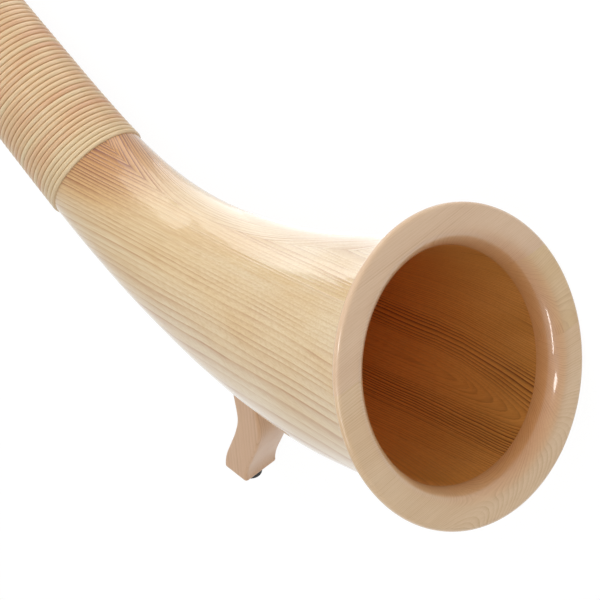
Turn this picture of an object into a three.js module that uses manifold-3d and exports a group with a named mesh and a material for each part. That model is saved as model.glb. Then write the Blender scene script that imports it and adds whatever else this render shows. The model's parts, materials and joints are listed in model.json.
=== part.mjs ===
// An alphorn in three sections with its mouthpiece, lying on its side as it does when nobody holds it.
// It is built round its centre line: +X looks out of the bell, +Z is the inner side of the bend and
// +Y is the player's left. At the end the whole horn is laid on the floor, with +X towards the bell.
// Lengths are in millimetres and angles in degrees.
import * as THREE from 'three';
import { ConvexHull } from 'three/addons/math/ConvexHull.js';
import { mergeVertices } from 'three/addons/utils/BufferGeometryUtils.js';
import Module from 'manifold-3d';

const wasm = await Module();
wasm.setup();

// Centre line, measured from the rim of the bell: straight in the ring, bent, and straight again
const bellSectionLength = 1250;
const middleSectionLength = 1080;
const handSectionLength = 1070;
const hornLength = bellSectionLength + middleSectionLength + handSectionLength;
const straightMouth = 22;
const bendLength = 620;
const bendAngle = 59.7;

// Wood of the tube
const mouthOfBellRadius = 110.8;
const bendEndRadius = 54.2;
const mouthEndRadius = 17.5;
const wall = 9.5;

// Each row: share of the way through the bend, share of its angle, share of the flare that is left.
const bendShares = [
  [0, 0, 1],
  [0.1, 0.104, 0.899],
  [0.2, 0.193, 0.816],
  [0.32, 0.298, 0.645],
  [0.45, 0.419, 0.452],
  [0.58, 0.558, 0.265],
  [0.71, 0.749, 0.124],
  [0.84, 0.923, 0.042],
  [0.94, 0.984, 0.012],
  [1, 1, 0],
];

// Ring round the bell's mouth, turned from three boards that are glued edge to edge at these heights
const ringRadius = 134.5;
const ringWidestDepth = 1.5;
const ringBackRadius = 122;
const ringBackDepth = 11;
const ringBulgeShare = 0.75;
const ringFaceRadius = 130;
const ringFaceHeight = 3;
const ringRollRadius = 114;
const ringRollShare = 0.5;
const ringThroatRadius = 99.5;
const ringLip = 3;
const ringLipDepth = 20;
const ringUpperGlueHeight = 48;
const ringLowerGlueHeight = -30;

// Cane wrap: a strip of half-round section, wound from the bend up to the joint. It starts on the left
// side, a quarter turn past the inner side of the bend.
const windingStart = 521.5;
const windingStartAngle = 90;
const windingTurns = 20;
const windingPitch = 5.9;
const caneWidth = 5.1;
const caneHeight = 2.6;

// Foot under the bend, and its rubber glide
const footStation = 300;
const footTilt = 30.5;
const footHeight = 175;
const footWidth = 45;
const footThickness = 35;
const footRound = 3;
const footSetBack = 16;
// Each row: share of the foot's height, and the sway of its middle as a share of its thickness.
const footSwayShares = [
  [0, 0],
  [0.06, 0.01],
  [0.15, 0.12],
  [0.28, 0.38],
  [0.42, 0.65],
  [0.56, 0.82],
  [0.72, 0.76],
  [0.86, 0.68],
  [1.15, 0.66],
];
const glideRadius = 12;
const glideHeight = 14;
const glideRound = 1.5;
const screwHeadRadius = 4.5;
const screwHeadHeight = 2.5;
const screwRadius = 2;
const screwLength = 26;
const screwRecess = 7;

// Joints: a metal tenon with two rubber seals, in a metal socket, each under a turned collar
const tenonLength = 55;
const tenonSeat = 30;
const tenonWall = 3;
const tenonPlay = 0.5;
const socketWall = 1.5;
const sealGrooveDepth = 1.6;
const sealGrooveWidth = 3;
const sealShares = [0.3, 0.72];
const collarLength = 28;
const collarProud = 3;
const collarRound = 4;

// Mouth end: the bush in the end collar, and the mouthpiece with its cork
const mouthCollarLength = 34;
const mouthCollarLip = 6;
const bushRadius = 11.5;
const bushBoreRadius = 7.7;
const bushDepth = 38;
const mouthpieceLength = 82;
const mouthpieceDepth = 28;
const mouthpieceRimRadius = 14;
const corkStart = 10;
const corkLength = 14;
const corkSeat = 1.8;
// Each row: share of the mouthpiece's length, share of its rim's radius.
const mouthpieceOutsideShares = [
  [0, 0.46],
  [0.34, 0.5],
  [0.36, 0.6],
  [0.4, 0.6],
  [0.43, 0.5],
  [0.6, 0.54],
  [0.72, 0.72],
  [0.84, 0.9],
  [0.92, 0.93],
  [0.95, 1],
  [0.985, 1],
  [1, 0.95],
];
const mouthpieceInsideShares = [
  [1, 0.76],
  [0.98, 0.68],
  [0.94, 0.62],
  [0.84, 0.52],
  [0.76, 0.34],
  [0.7, 0.25],
  [0, 0.32],
];

// Clearance between pieces that touch, and the number of flat sides that a full round has.
// Stations follow each other along the bend at this spacing, and its line is walked in short steps.
const gap = 0.3;
const sides = 24;
const smallSides = 20;
const windingSides = 24;
const stationSpacing = 31;
const lineSpacing = 2;
const cutOverrun = 10;

// Colour, roughness, metalness and density in kilograms per cubic metre of each material
const finishes = {
  spruce: { color: '#dcc596', roughness: 0.35, metalness: 0, density: 430 },
  maple: { color: '#cbae8a', roughness: 0.35, metalness: 0, density: 650 },
  cane: { color: '#dcc093', roughness: 0.4, metalness: 0, density: 500 },
  rubber: { color: '#141414', roughness: 0.8, metalness: 0, density: 1200 },
  aluminium: { color: '#b9bcc0', roughness: 0.3, metalness: 1, density: 2700 },
  steel: { color: '#8d9094', roughness: 0.35, metalness: 1, density: 7850 },
  cork: { color: '#b98d5e', roughness: 0.9, metalness: 0, density: 240 },
};

// A round hole whose flat sides clear a round piece of this radius.
const holeRadius = (radius, count = sides) => (radius + gap) / Math.cos(Math.PI / count);

// Centre line and outside of the wood

const bendCurve = new THREE.CubicInterpolant(
  bendShares.map((row) => row[0]),
  bendShares.flatMap((row) => [row[1], row[2]]),
  2,
);

function bendAt(along) {
  const share = THREE.MathUtils.clamp((along - straightMouth) / (bendLength - straightMouth), 0, 1);
  const [angleShare, flareShare] = bendCurve.evaluate(share);
  return { angle: THREE.MathUtils.degToRad(bendAngle * angleShare), flareShare };
}

function woodRadius(along) {
  if (along < bendLength) {
    return THREE.MathUtils.lerp(bendEndRadius, mouthOfBellRadius, bendAt(along).flareShare);
  }
  return THREE.MathUtils.mapLinear(along, bendLength, hornLength, bendEndRadius, mouthEndRadius);
}

const boreRadius = (along) => woodRadius(along) - wall;

const backwards = (angle) => new THREE.Vector3(-Math.cos(angle), 0, Math.sin(angle));

// Points of the bend, found by walking along it in short steps.
const bendPoints = [new THREE.Vector3()];
const bendSteps = Math.ceil(bendLength / lineSpacing);
for (let step = 0; step < bendSteps; step++) {
  const middle = ((step + 0.5) / bendSteps) * bendLength;
  const next = bendPoints[step].clone();
  bendPoints.push(next.addScaledVector(backwards(bendAt(middle).angle), bendLength / bendSteps));
}

// A place on the centre line: its point, the way back along the horn, across it, and into the bend.
function place(along) {
  const { angle } = bendAt(along);
  const back = backwards(angle);
  const across = new THREE.Vector3(0, 1, 0);
  const inward = new THREE.Vector3(Math.sin(angle), 0, Math.cos(angle));
  const walked = THREE.MathUtils.clamp(along / bendLength, 0, 1) * bendSteps;
  const step = Math.min(Math.floor(walked), bendSteps - 1);
  const point = bendPoints[step].clone().lerp(bendPoints[step + 1], walked - step);
  point.addScaledVector(back, Math.min(along, 0) + Math.max(along - bendLength, 0));
  return { point, back, across, inward };
}

// The same for a straight section in its own frame, where +Y runs back along it.
const straightPlace = (along) => ({
  point: new THREE.Vector3(0, along, 0),
  back: new THREE.Vector3(0, 1, 0),
  across: new THREE.Vector3(0, 0, 1),
  inward: new THREE.Vector3(-1, 0, 0),
});

// Solids

function piece(name, finish, geometry) {
  const { color, roughness, metalness, density } = finishes[finish];
  const mesh = new THREE.Mesh(geometry, new THREE.MeshStandardMaterial({ color, roughness, metalness }));
  mesh.name = name;
  mesh.userData.density = density;
  return mesh;
}

// Six times the volume that a triangle spans with the origin.
const triangleVolume = (a, b, c) => a.dot(new THREE.Vector3().crossVectors(b, c));

// A closed skin over rows of points. Each row is one outline and all have the same number of points.
// The first and the last row are capped by flat triangles, whose corners the caps give as numbers.
function skin(rows, startCap, endCap = startCap) {
  const count = rows[0].length;
  const points = rows.flat();
  const corners = [];
  for (let row = 0; row < rows.length - 1; row++) {
    for (let corner = 0; corner < count; corner++) {
      const next = (corner + 1) % count;
      const [a, b] = [row * count + corner, row * count + next];
      corners.push(a, b, b + count, a, b + count, a + count);
    }
  }
  const last = (rows.length - 1) * count;
  for (const [a, b, c] of startCap) corners.push(a, c, b);
  for (const [a, b, c] of endCap) corners.push(last + a, last + b, last + c);
  let volume = 0;
  for (let corner = 0; corner < corners.length; corner += 3) {
    volume += triangleVolume(...corners.slice(corner, corner + 3).map((index) => points[index]));
  }
  const geometry = new THREE.BufferGeometry().setFromPoints(points);
  geometry.setIndex(volume > 0 ? corners : corners.reverse());
  return geometry;
}

// The cap of an outline that runs out along one arc and back along another with as many points.
function bandCap(count) {
  const cap = [];
  for (let near = 0; near < count / 2 - 1; near++) {
    const far = count - 1 - near;
    cap.push([near, near + 1, far - 1], [near, far - 1, far]);
  }
  return cap;
}

// The cap of an outline that bulges all round.
const fanCap = (count) => Array.from({ length: count - 2 }, (_, step) => [0, step + 1, step + 2]);

// One half of a wooden tube, split in the bend plane. A station gives where, the outside and the inside.
function halfTube(placeAt, stations, side) {
  const arcSteps = sides / 2;
  const rows = stations.map(([along, outside, inside]) => {
    const { point, across, inward } = placeAt(along);
    const arc = (radius) => {
      const lift = Math.asin(gap / 2 / radius);
      return Array.from({ length: arcSteps + 1 }, (_, step) => {
        const turn = THREE.MathUtils.lerp(lift, Math.PI - lift, step / arcSteps);
        const sideways = point.clone().addScaledVector(across, side * radius * Math.sin(turn));
        return sideways.addScaledVector(inward, radius * Math.cos(turn));
      });
    };
    return [...arc(outside), ...arc(inside).reverse()];
  });
  return skin(rows, bandCap(rows[0].length));
}

// A solid of round sections along the centre line.
function roundRod(stations) {
  const rows = stations.map(([along, radius]) => {
    const { point, across, inward } = place(along);
    return Array.from({ length: sides }, (_, step) => {
      const turn = (step / sides) * 2 * Math.PI;
      const sideways = point.clone().addScaledVector(across, radius * Math.sin(turn));
      return sideways.addScaledVector(inward, radius * Math.cos(turn));
    });
  });
  return skin(rows, fanCap(sides));
}

// A turned piece round +Y. Its outline is a closed list of [radius, height].
function turned(outline, count = sides) {
  const points = [...outline, outline[0]].map(([radius, height]) => new THREE.Vector2(radius, height));
  return new THREE.LatheGeometry(points, count);
}

function toSolid(geometry) {
  const bare = geometry.clone();
  bare.deleteAttribute('normal');
  bare.deleteAttribute('uv');
  const merged = mergeVertices(bare);
  const vertProperties = new Float32Array(merged.attributes.position.array);
  const triVerts = new Uint32Array(merged.index.array);
  return new wasm.Manifold(new wasm.Mesh({ numProp: 3, vertProperties, triVerts }));
}

function toGeometry(solid) {
  const mesh = solid.getMesh();
  const geometry = new THREE.BufferGeometry();
  geometry.setAttribute('position', new THREE.BufferAttribute(mesh.vertProperties, mesh.numProp));
  geometry.setIndex(new THREE.BufferAttribute(mesh.triVerts, 1));
  return geometry;
}

// Bell section

// Stations along the bend, evenly spaced, with the wood's outside there.
function bendStations(from, to) {
  const count = Math.round((to - from) / stationSpacing);
  return Array.from({ length: count + 1 }, (_, index) => {
    const along = THREE.MathUtils.lerp(from, to, index / count);
    return [along, woodRadius(along)];
  });
}

const lipSeatDepth = ringLipDepth + gap;
const socketDepth = tenonLength + 2 * gap;

function bellStations() {
  const lipSeat = holeRadius(ringThroatRadius + ringLip);
  const start = ringBackDepth + gap;
  const behindLip = bendStations(lipSeatDepth + gap, bendLength).map(([along, outside]) => {
    return [along, outside, outside - wall];
  });
  return [
    [start, woodRadius(start), lipSeat],
    [lipSeatDepth, woodRadius(lipSeatDepth), lipSeat],
    ...behindLip,
    ...socketStations(bellSectionLength, 0),
  ];
}

// Radii of the joint at a place on the centre line.
function jointSizes(along) {
  const bore = boreRadius(along);
  const tenon = bore + tenonWall;
  const socketBore = tenon + tenonPlay;
  const socket = socketBore + socketWall;
  return { bore, tenon, socketBore, socket, groove: tenon - sealGrooveDepth };
}

// The wood's last stations before a joint, bored out for the socket. Places count from the start given.
function socketStations(joint, start) {
  const seat = joint - socketDepth;
  const bored = holeRadius(jointSizes(joint).socket);
  return [
    [seat - gap - start, woodRadius(seat - gap), boreRadius(seat - gap)],
    [seat - start, woodRadius(seat), bored],
    [joint - start, woodRadius(joint), bored],
  ];
}

// The wood's first stations after a joint, bored out for the tenon, in the section's own frame.
function tenonStations(joint) {
  const bored = holeRadius(jointSizes(joint).tenon);
  const seat = tenonSeat + gap;
  return [
    [gap, woodRadius(joint + gap), bored],
    [seat, woodRadius(joint + seat), bored],
    [seat + gap, woodRadius(joint + seat + gap), boreRadius(joint + seat + gap)],
  ];
}

// The ring's section, from its flat back round its bulge and over its face down into the throat.
function ringOutline() {
  const lipRadius = ringThroatRadius + ringLip;
  const outline = new THREE.Path();
  outline.moveTo(ringBackRadius, -ringBackDepth);
  outline.quadraticCurveTo(
    THREE.MathUtils.lerp(ringBackRadius, ringRadius, ringBulgeShare),
    THREE.MathUtils.lerp(-ringWidestDepth, -ringBackDepth, ringBulgeShare),
    ringRadius, -ringWidestDepth,
  );
  outline.quadraticCurveTo(ringRadius, ringFaceHeight, ringFaceRadius, ringFaceHeight);
  outline.lineTo(ringRollRadius, ringFaceHeight);
  outline.bezierCurveTo(
    THREE.MathUtils.lerp(ringRollRadius, ringThroatRadius, ringRollShare), ringFaceHeight,
    ringThroatRadius, THREE.MathUtils.lerp(-ringLipDepth, ringFaceHeight, ringRollShare),
    ringThroatRadius, -ringLipDepth,
  );
  outline.lineTo(lipRadius, -ringLipDepth);
  outline.lineTo(lipRadius, -ringBackDepth);
  return outline.getPoints(4);
}

// The turn from +Y towards +Z in which a circle reaches a height: on the left of the ring it is the
// first that does, on the right the second, and on the way back to the left it is a full turn on.
const turnAt = (radius, { height, side }) => {
  const rise = Math.asin(height / radius);
  return { left: rise, right: Math.PI - rise, leftAgain: 2 * Math.PI + rise }[side];
};

// One board's piece of the ring, between two flat glue faces.
function ringPiece(start, end) {
  const outline = ringOutline();
  const span = turnAt(ringRadius, end) - turnAt(ringRadius, start);
  const steps = Math.round((span / (2 * Math.PI)) * sides);
  const rows = Array.from({ length: steps + 1 }, (_, step) => outline.map(({ x, y }) => {
    const turn = THREE.MathUtils.lerp(turnAt(x, start), turnAt(x, end), step / steps);
    return new THREE.Vector3(y, x * Math.cos(turn), x * Math.sin(turn));
  }));
  const [startCap, endCap] = [rows[0], rows.at(-1)].map((row) => {
    return THREE.ShapeUtils.triangulateShape(row.map(({ x, y }) => new THREE.Vector2(Math.abs(y), x)), []);
  });
  return skin(rows, startCap, endCap);
}

function ringPieces() {
  const aboveUpper = ringUpperGlueHeight + gap / 2;
  const belowUpper = ringUpperGlueHeight - gap / 2;
  const aboveLower = ringLowerGlueHeight + gap / 2;
  const belowLower = ringLowerGlueHeight - gap / 2;
  return {
    upper: ringPiece({ height: aboveUpper, side: 'left' }, { height: aboveUpper, side: 'right' }),
    right: ringPiece({ height: belowUpper, side: 'right' }, { height: aboveLower, side: 'right' }),
    lower: ringPiece({ height: belowLower, side: 'right' }, { height: belowLower, side: 'leftAgain' }),
    left: ringPiece({ height: aboveLower, side: 'left' }, { height: belowUpper, side: 'left' }),
  };
}

// The wound cane: one strip in a helix round the wood, with a flattened six-sided section.
function winding() {
  const lift = gap + 0.5 * Math.sqrt(3) * (caneHeight / 2);
  const section = Array.from({ length: 6 }, (_, corner) => {
    const turn = (corner / 6) * 2 * Math.PI;
    return [(caneWidth / 2) * Math.cos(turn), (caneHeight / 2) * Math.sin(turn)];
  });
  const helixPoint = (turns, alongStrip, outwards) => {
    const along = windingStart + windingPitch * turns + alongStrip;
    const { point, across, inward } = place(along);
    const radius = (woodRadius(along) + lift) / Math.cos(Math.PI / windingSides) + outwards;
    const angle = THREE.MathUtils.degToRad(windingStartAngle) + turns * 2 * Math.PI;
    point.addScaledVector(across, radius * Math.sin(angle));
    return point.addScaledVector(inward, radius * Math.cos(angle));
  };
  const rows = [];
  for (let step = 0; step <= windingTurns * windingSides; step++) {
    rows.push(section.map(([strip, out]) => helixPoint(step / windingSides, strip, out)));
  }
  // Both ends run on straight for one width of the strip.
  const runOn = (row, before) => row.map((corner, index) => {
    const ahead = corner.clone().sub(before[index]).setLength(caneWidth);
    return ahead.add(corner);
  });
  const start = runOn(rows[0], rows[1]);
  const end = runOn(rows.at(-1), rows.at(-2));
  let leastGap = Infinity;
  for (let row = windingSides - 1; row < rows.length; row++) {
    for (let other = row - windingSides - 1; other <= row - windingSides + 1; other++) {
      for (const corner of rows[Math.max(other, 0)]) {
        leastGap = Math.min(leastGap, ...rows[row].map((point) => point.distanceTo(corner)));
      }
    }
  }
  console.log(`least gap between the turns of the winding: ${leastGap.toFixed(2)} mm`);
  return skin([start, ...rows, end], fanCap(6));
}

// The foot's own frame: its middle stands under a place on the bend, upright when the horn is played.
function footFrame() {
  const tilt = THREE.MathUtils.degToRad(footTilt);
  const up = new THREE.Vector3(Math.sin(tilt), 0, Math.cos(tilt));
  const forward = new THREE.Vector3(Math.cos(tilt), 0, -Math.sin(tilt));
  const { point, inward } = place(footStation);
  const belly = point.addScaledVector(inward, -woodRadius(footStation));
  const base = belly.addScaledVector(up, -footHeight).addScaledVector(forward, -footSetBack);
  const frame = new THREE.Group();
  frame.matrixAutoUpdate = false;
  frame.matrix.makeBasis(forward, up, new THREE.Vector3().crossVectors(forward, up)).setPosition(base);
  return frame;
}

// The foot is sawn to an S-shaped outline, rounded at its edges and hollowed to the wood it stands on.
function footBlock(frame) {
  const middle = new THREE.SplineCurve(footSwayShares.map(([rise, sway]) => {
    return new THREE.Vector2(sway * footThickness, rise * footHeight);
  }));
  const points = middle.getPoints(2 * footSwayShares.length);
  const half = new THREE.Vector2(footThickness / 2, 0);
  const back = points.map((point) => point.clone().sub(half));
  const front = points.map((point) => point.clone().add(half)).reverse();
  const block = new THREE.ExtrudeGeometry(new THREE.Shape([...back, ...front]), {
    depth: footWidth - 2 * footRound,
    bevelThickness: footRound,
    bevelSize: footRound,
    bevelOffset: -footRound,
    bevelSegments: 2,
    steps: 1,
  });
  block.translate(0, 0, footRound - footWidth / 2);
  block.translate(0, -footRound, 0);
  const under = new THREE.BoxGeometry(2 * footThickness, cutOverrun, 2 * footWidth);
  under.translate(0, -cutOverrun / 2, 0);
  const horn = roundRod(bendStations(lipSeatDepth + gap, bendLength).map(([along, radius]) => {
    return [along, holeRadius(radius)];
  }));
  horn.applyMatrix4(frame.matrix.clone().invert());
  const pilotTop = screwRecess - glideHeight + screwLength;
  const pilotLength = pilotTop + cutOverrun;
  const pilotRadius = holeRadius(screwRadius, smallSides);
  const pilot = new THREE.CylinderGeometry(pilotRadius, pilotRadius, pilotLength, smallSides);
  pilot.translate(0, pilotTop - pilotLength / 2, 0);
  const cut = toSolid(block).subtract(toSolid(under)).subtract(toSolid(horn)).subtract(toSolid(pilot));
  const lowest = (solid) => solid.getMesh().vertProperties.reduce((low, value, index) => {
    return index % 3 === 1 ? Math.min(low, value) : low;
  }, Infinity);
  const standing = cut.decompose().sort((one, other) => lowest(one) - lowest(other))[0];
  return toGeometry(standing);
}

function glide() {
  const hole = holeRadius(screwRadius, smallSides);
  const recess = holeRadius(screwHeadRadius, smallSides);
  return turned([
    [hole, -gap],
    [hole, screwRecess - glideHeight],
    [recess, screwRecess - glideHeight],
    [recess, -glideHeight],
    [glideRadius - glideRound, -glideHeight],
    [glideRadius, glideRound - glideHeight],
    [glideRadius, -gap],
  ], smallSides);
}

function glideScrew() {
  const head = screwRecess - glideHeight - gap;
  const outline = [
    [0, head - screwHeadHeight],
    [screwHeadRadius, head - screwHeadHeight],
    [screwHeadRadius, head],
    [screwRadius, head],
    [screwRadius, head + screwLength - screwRadius],
    [0, head + screwLength],
  ];
  const points = outline.map(([radius, height]) => new THREE.Vector2(radius, height));
  return new THREE.LatheGeometry(points, smallSides);
}

// Collars, sleeves and seals of the joints, in frames whose +Y runs back along the horn from the joint

function collar(start, length, seatRadius, topRadius) {
  const inside = holeRadius(seatRadius);
  return turned([
    [inside, start],
    [topRadius - collarRound, start],
    [topRadius, start + collarRound],
    [topRadius, start + length - collarRound],
    [topRadius - collarRound, start + length],
    [inside, start + length],
  ]);
}

const collarTop = (along) => woodRadius(along) + caneHeight + collarProud + gap;

function socketCollar(joint) {
  const start = joint - collarLength;
  return collar(-collarLength, collarLength, woodRadius(start), collarTop(joint));
}

const tenonCollar = (joint) => collar(gap, collarLength, woodRadius(joint), collarTop(joint));

function socketSleeve(joint) {
  const { socketBore, socket } = jointSizes(joint);
  const end = gap - socketDepth;
  return turned([
    [socketBore, end],
    [socket, end],
    [socket, 0],
    [socketBore, 0],
  ]);
}

const sealHeights = sealShares.map((share) => -share * tenonLength);

function tenonSleeve(joint) {
  const { bore, tenon, groove } = jointSizes(joint);
  const grooves = [...sealHeights].reverse().flatMap((height) => [
    [tenon, height - sealGrooveWidth / 2],
    [groove, height - sealGrooveWidth / 2],
    [groove, height + sealGrooveWidth / 2],
    [tenon, height + sealGrooveWidth / 2],
  ]);
  return turned([
    [bore, -tenonLength],
    [tenon, -tenonLength],
    ...grooves,
    [tenon, tenonSeat],
    [bore, tenonSeat],
  ]);
}

function seal(joint, height) {
  const { groove, socketBore } = jointSizes(joint);
  const middle = (groove + socketBore) / 2;
  const thickness = (socketBore - groove) / 2 - gap;
  const ring = new THREE.EllipseCurve(middle, height, thickness, thickness);
  return turned(ring.getPoints(6).slice(0, -1).map(({ x, y }) => [x, y]));
}

// The plain wrap between two places, in a frame that starts at the origin given.
function wrapSleeve(from, to, origin) {
  const [low, high] = [holeRadius(woodRadius(from)), holeRadius(woodRadius(to))];
  return turned([
    [low, from - origin],
    [low + caneHeight, from - origin],
    [high + caneHeight, to - origin],
    [high, to - origin],
  ]);
}

// A straight section's frame, with its origin at a place on the centre line and +Y back along it.
function sectionFrame(along) {
  const { point, back, across, inward } = place(along);
  const frame = new THREE.Group();
  frame.matrixAutoUpdate = false;
  frame.matrix.makeBasis(inward.negate(), back, across).setPosition(point);
  return frame;
}

// Sections

const sidesOfHorn = [['right', -1], ['left', 1]];
const middleJoint = bellSectionLength;
const handJoint = bellSectionLength + middleSectionLength;

function bellSection() {
  const bell = new THREE.Group();
  const stations = bellStations();
  for (const [name, side] of sidesOfHorn) {
    bell.add(piece(`bell_half_${name}`, 'spruce', halfTube(place, stations, side)));
  }
  for (const [name, board] of Object.entries(ringPieces())) {
    bell.add(piece(`bell_ring_${name}`, 'maple', board));
  }
  bell.add(piece('bell_rattan_winding', 'cane', winding()));

  const foot = footFrame();
  foot.add(piece('foot_block', 'maple', footBlock(foot)));
  foot.add(piece('foot_glide', 'rubber', glide()));
  foot.add(piece('foot_glide_screw', 'steel', glideScrew()));
  bell.add(foot);

  const end = sectionFrame(middleJoint);
  const windingEnd = windingStart + windingPitch * windingTurns + caneWidth + gap;
  const wrapEnd = middleJoint - collarLength - gap;
  end.add(piece('bell_wrap_sleeve', 'cane', wrapSleeve(windingEnd, wrapEnd, middleJoint)));
  end.add(piece('bell_socket_collar', 'maple', socketCollar(middleJoint)));
  end.add(piece('bell_socket_sleeve', 'aluminium', socketSleeve(middleJoint)));
  bell.add(end);
  return bell;
}

// The tenon end of a straight section: the metal tenon, its seals and the collar beside the joint.
function tenonEnd(section, name, joint) {
  section.add(piece(`${name}_tenon_sleeve`, 'aluminium', tenonSleeve(joint)));
  section.add(piece(`${name}_tenon_collar`, 'maple', tenonCollar(joint)));
  ['upper', 'lower'].forEach((rank, index) => {
    section.add(piece(`${name}_seal_${rank}`, 'rubber', seal(joint, sealHeights[index])));
  });
}

function middleSection() {
  const section = sectionFrame(middleJoint);
  const stations = [...tenonStations(middleJoint), ...socketStations(handJoint, middleJoint)];
  for (const [name, side] of sidesOfHorn) {
    section.add(piece(`middle_half_${name}`, 'spruce', halfTube(straightPlace, stations, side)));
  }
  tenonEnd(section, 'middle', middleJoint);
  const [wrapStart, wrapEnd] = [middleJoint + collarLength + 2 * gap, handJoint - collarLength - gap];
  section.add(piece('middle_wrap_sleeve', 'cane', wrapSleeve(wrapStart, wrapEnd, middleJoint)));

  const end = new THREE.Group();
  end.position.y = middleSectionLength;
  end.add(piece('middle_socket_collar', 'maple', socketCollar(handJoint)));
  end.add(piece('middle_socket_sleeve', 'aluminium', socketSleeve(handJoint)));
  section.add(end);
  return section;
}

function handSection() {
  const section = sectionFrame(handJoint);
  const length = hornLength - handJoint;
  const bushSeat = hornLength - bushDepth;
  const stations = [
    ...tenonStations(handJoint),
    [bushSeat - gap - handJoint, woodRadius(bushSeat - gap), boreRadius(bushSeat - gap)],
    [bushSeat - handJoint, woodRadius(bushSeat), holeRadius(bushRadius)],
    [length, woodRadius(hornLength), holeRadius(bushRadius)],
  ];
  for (const [name, side] of sidesOfHorn) {
    section.add(piece(`hand_half_${name}`, 'spruce', halfTube(straightPlace, stations, side)));
  }
  tenonEnd(section, 'hand', handJoint);
  const [wrapStart, wrapEnd] = [handJoint + collarLength + 2 * gap, hornLength - mouthCollarLength - gap];
  section.add(piece('hand_wrap_sleeve', 'cane', wrapSleeve(wrapStart, wrapEnd, handJoint)));

  const end = new THREE.Group();
  end.position.y = length;
  end.add(piece('mouth_collar', 'maple', mouthCollar()));
  end.add(piece('mouth_bush', 'aluminium', mouthBush()));
  section.add(end);
  return section;
}

// The end collar covers the wood's end, up to the bush.
function mouthCollar() {
  const inside = holeRadius(woodRadius(hornLength - mouthCollarLength));
  const top = collarTop(hornLength);
  return turned([
    [inside, -mouthCollarLength],
    [top - collarRound, -mouthCollarLength],
    [top, collarRound - mouthCollarLength],
    [top, mouthCollarLip - collarRound],
    [top - collarRound, mouthCollarLip],
    [holeRadius(bushRadius), mouthCollarLip],
    [holeRadius(bushRadius), gap],
    [inside, gap],
  ]);
}

function mouthBush() {
  return turned([
    [bushBoreRadius, gap - bushDepth],
    [bushRadius, gap - bushDepth],
    [bushRadius, mouthCollarLip],
    [bushBoreRadius, mouthCollarLip],
  ]);
}

// Mouthpiece, in a frame whose +Y runs from the tip of its shank to its rim

const shankRadius = mouthpieceOutsideShares[0][1] * mouthpieceRimRadius;
const corkInside = shankRadius - corkSeat;

function mouthpiece() {
  const sized = ([lengthShare, radiusShare]) => [
    radiusShare * mouthpieceRimRadius,
    lengthShare * mouthpieceLength,
  ];
  const [tip, ...outside] = mouthpieceOutsideShares.map(sized);
  return turned([
    tip,
    [shankRadius, corkStart - gap],
    [corkInside, corkStart - gap],
    [corkInside, corkStart + corkLength + gap],
    [shankRadius, corkStart + corkLength + gap],
    ...outside,
    ...mouthpieceInsideShares.map(sized),
  ], smallSides);
}

function mouthpieceCork() {
  const inside = holeRadius(corkInside, smallSides);
  const outside = (bushBoreRadius - gap) * Math.cos(Math.PI / sides);
  return turned([
    [inside, corkStart],
    [outside, corkStart],
    [outside, corkStart + corkLength],
    [inside, corkStart + corkLength],
  ], smallSides);
}

function mouthpieceGroup() {
  const group = sectionFrame(hornLength + mouthCollarLip - mouthpieceDepth);
  group.add(piece('mouthpiece', 'maple', mouthpiece()));
  group.add(piece('mouthpiece_cork', 'cork', mouthpieceCork()));
  return group;
}

// Laying the horn down: it comes to rest on a face of its hull that has its centre of mass over it,
// and of those it lies on the one nearest to its left side.

function centreOfMass(meshes) {
  const centre = new THREE.Vector3();
  let mass = 0;
  for (const { points, corners, density } of meshes) {
    for (let corner = 0; corner < corners.length; corner += 3) {
      const [a, b, c] = [0, 1, 2].map((step) => points[corners[corner + step]]);
      const share = (density * triangleVolume(a, b, c)) / 6;
      mass += share;
      centre.addScaledVector(a, share / 4).addScaledVector(b, share / 4).addScaledVector(c, share / 4);
    }
  }
  return centre.divideScalar(mass);
}

function standsOver(face, centre) {
  const start = face.getEdge(0).tail().point;
  const foot = centre.clone().addScaledVector(face.normal, start.clone().sub(centre).dot(face.normal));
  return [0, 1, 2].every((index) => {
    const edge = face.getEdge(index);
    const along = edge.head().point.clone().sub(edge.tail().point);
    return along.cross(foot.clone().sub(edge.tail().point)).dot(face.normal) >= 0;
  });
}

function layDown(horn) {
  horn.updateMatrixWorld(true);
  const meshes = [];
  horn.traverse((object) => {
    if (!object.isMesh) return;
    const { position } = object.geometry.attributes;
    const points = Array.from({ length: position.count }, (_, index) => {
      return new THREE.Vector3().fromBufferAttribute(position, index).applyMatrix4(object.matrixWorld);
    });
    const corners = object.geometry.index.array;
    meshes.push({ points, corners, density: object.userData.density });
  });
  const points = meshes.flatMap((mesh) => mesh.points);
  const centre = centreOfMass(meshes);
  const hull = new ConvexHull().setFromPoints(points);
  const leftSide = new THREE.Vector3(0, 1, 0);
  const resting = hull.faces.filter((face) => standsOver(face, centre));
  const down = resting.sort((one, other) => other.normal.dot(leftSide) - one.normal.dot(leftSide))[0].normal;

  const up = down.clone().negate();
  const towardsBell = place(hornLength).back.negate().projectOnPlane(up).normalize();
  const turn = new THREE.Matrix4().makeBasis(towardsBell, up.clone().cross(towardsBell), up).invert();
  const box = new THREE.Box3().setFromPoints(points.map((point) => point.clone().applyMatrix4(turn)));
  const middle = box.getCenter(new THREE.Vector3());
  horn.quaternion.setFromRotationMatrix(turn);
  horn.position.set(-middle.x, -middle.y, -box.min.z);
  horn.updateMatrixWorld(true);
}

const alphorn = new THREE.Group();
alphorn.name = 'alphorn';
alphorn.add(bellSection(), middleSection(), handSection(), mouthpieceGroup());
layDown(alphorn);

export default alphorn;
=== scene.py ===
import json
from functools import partial

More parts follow.
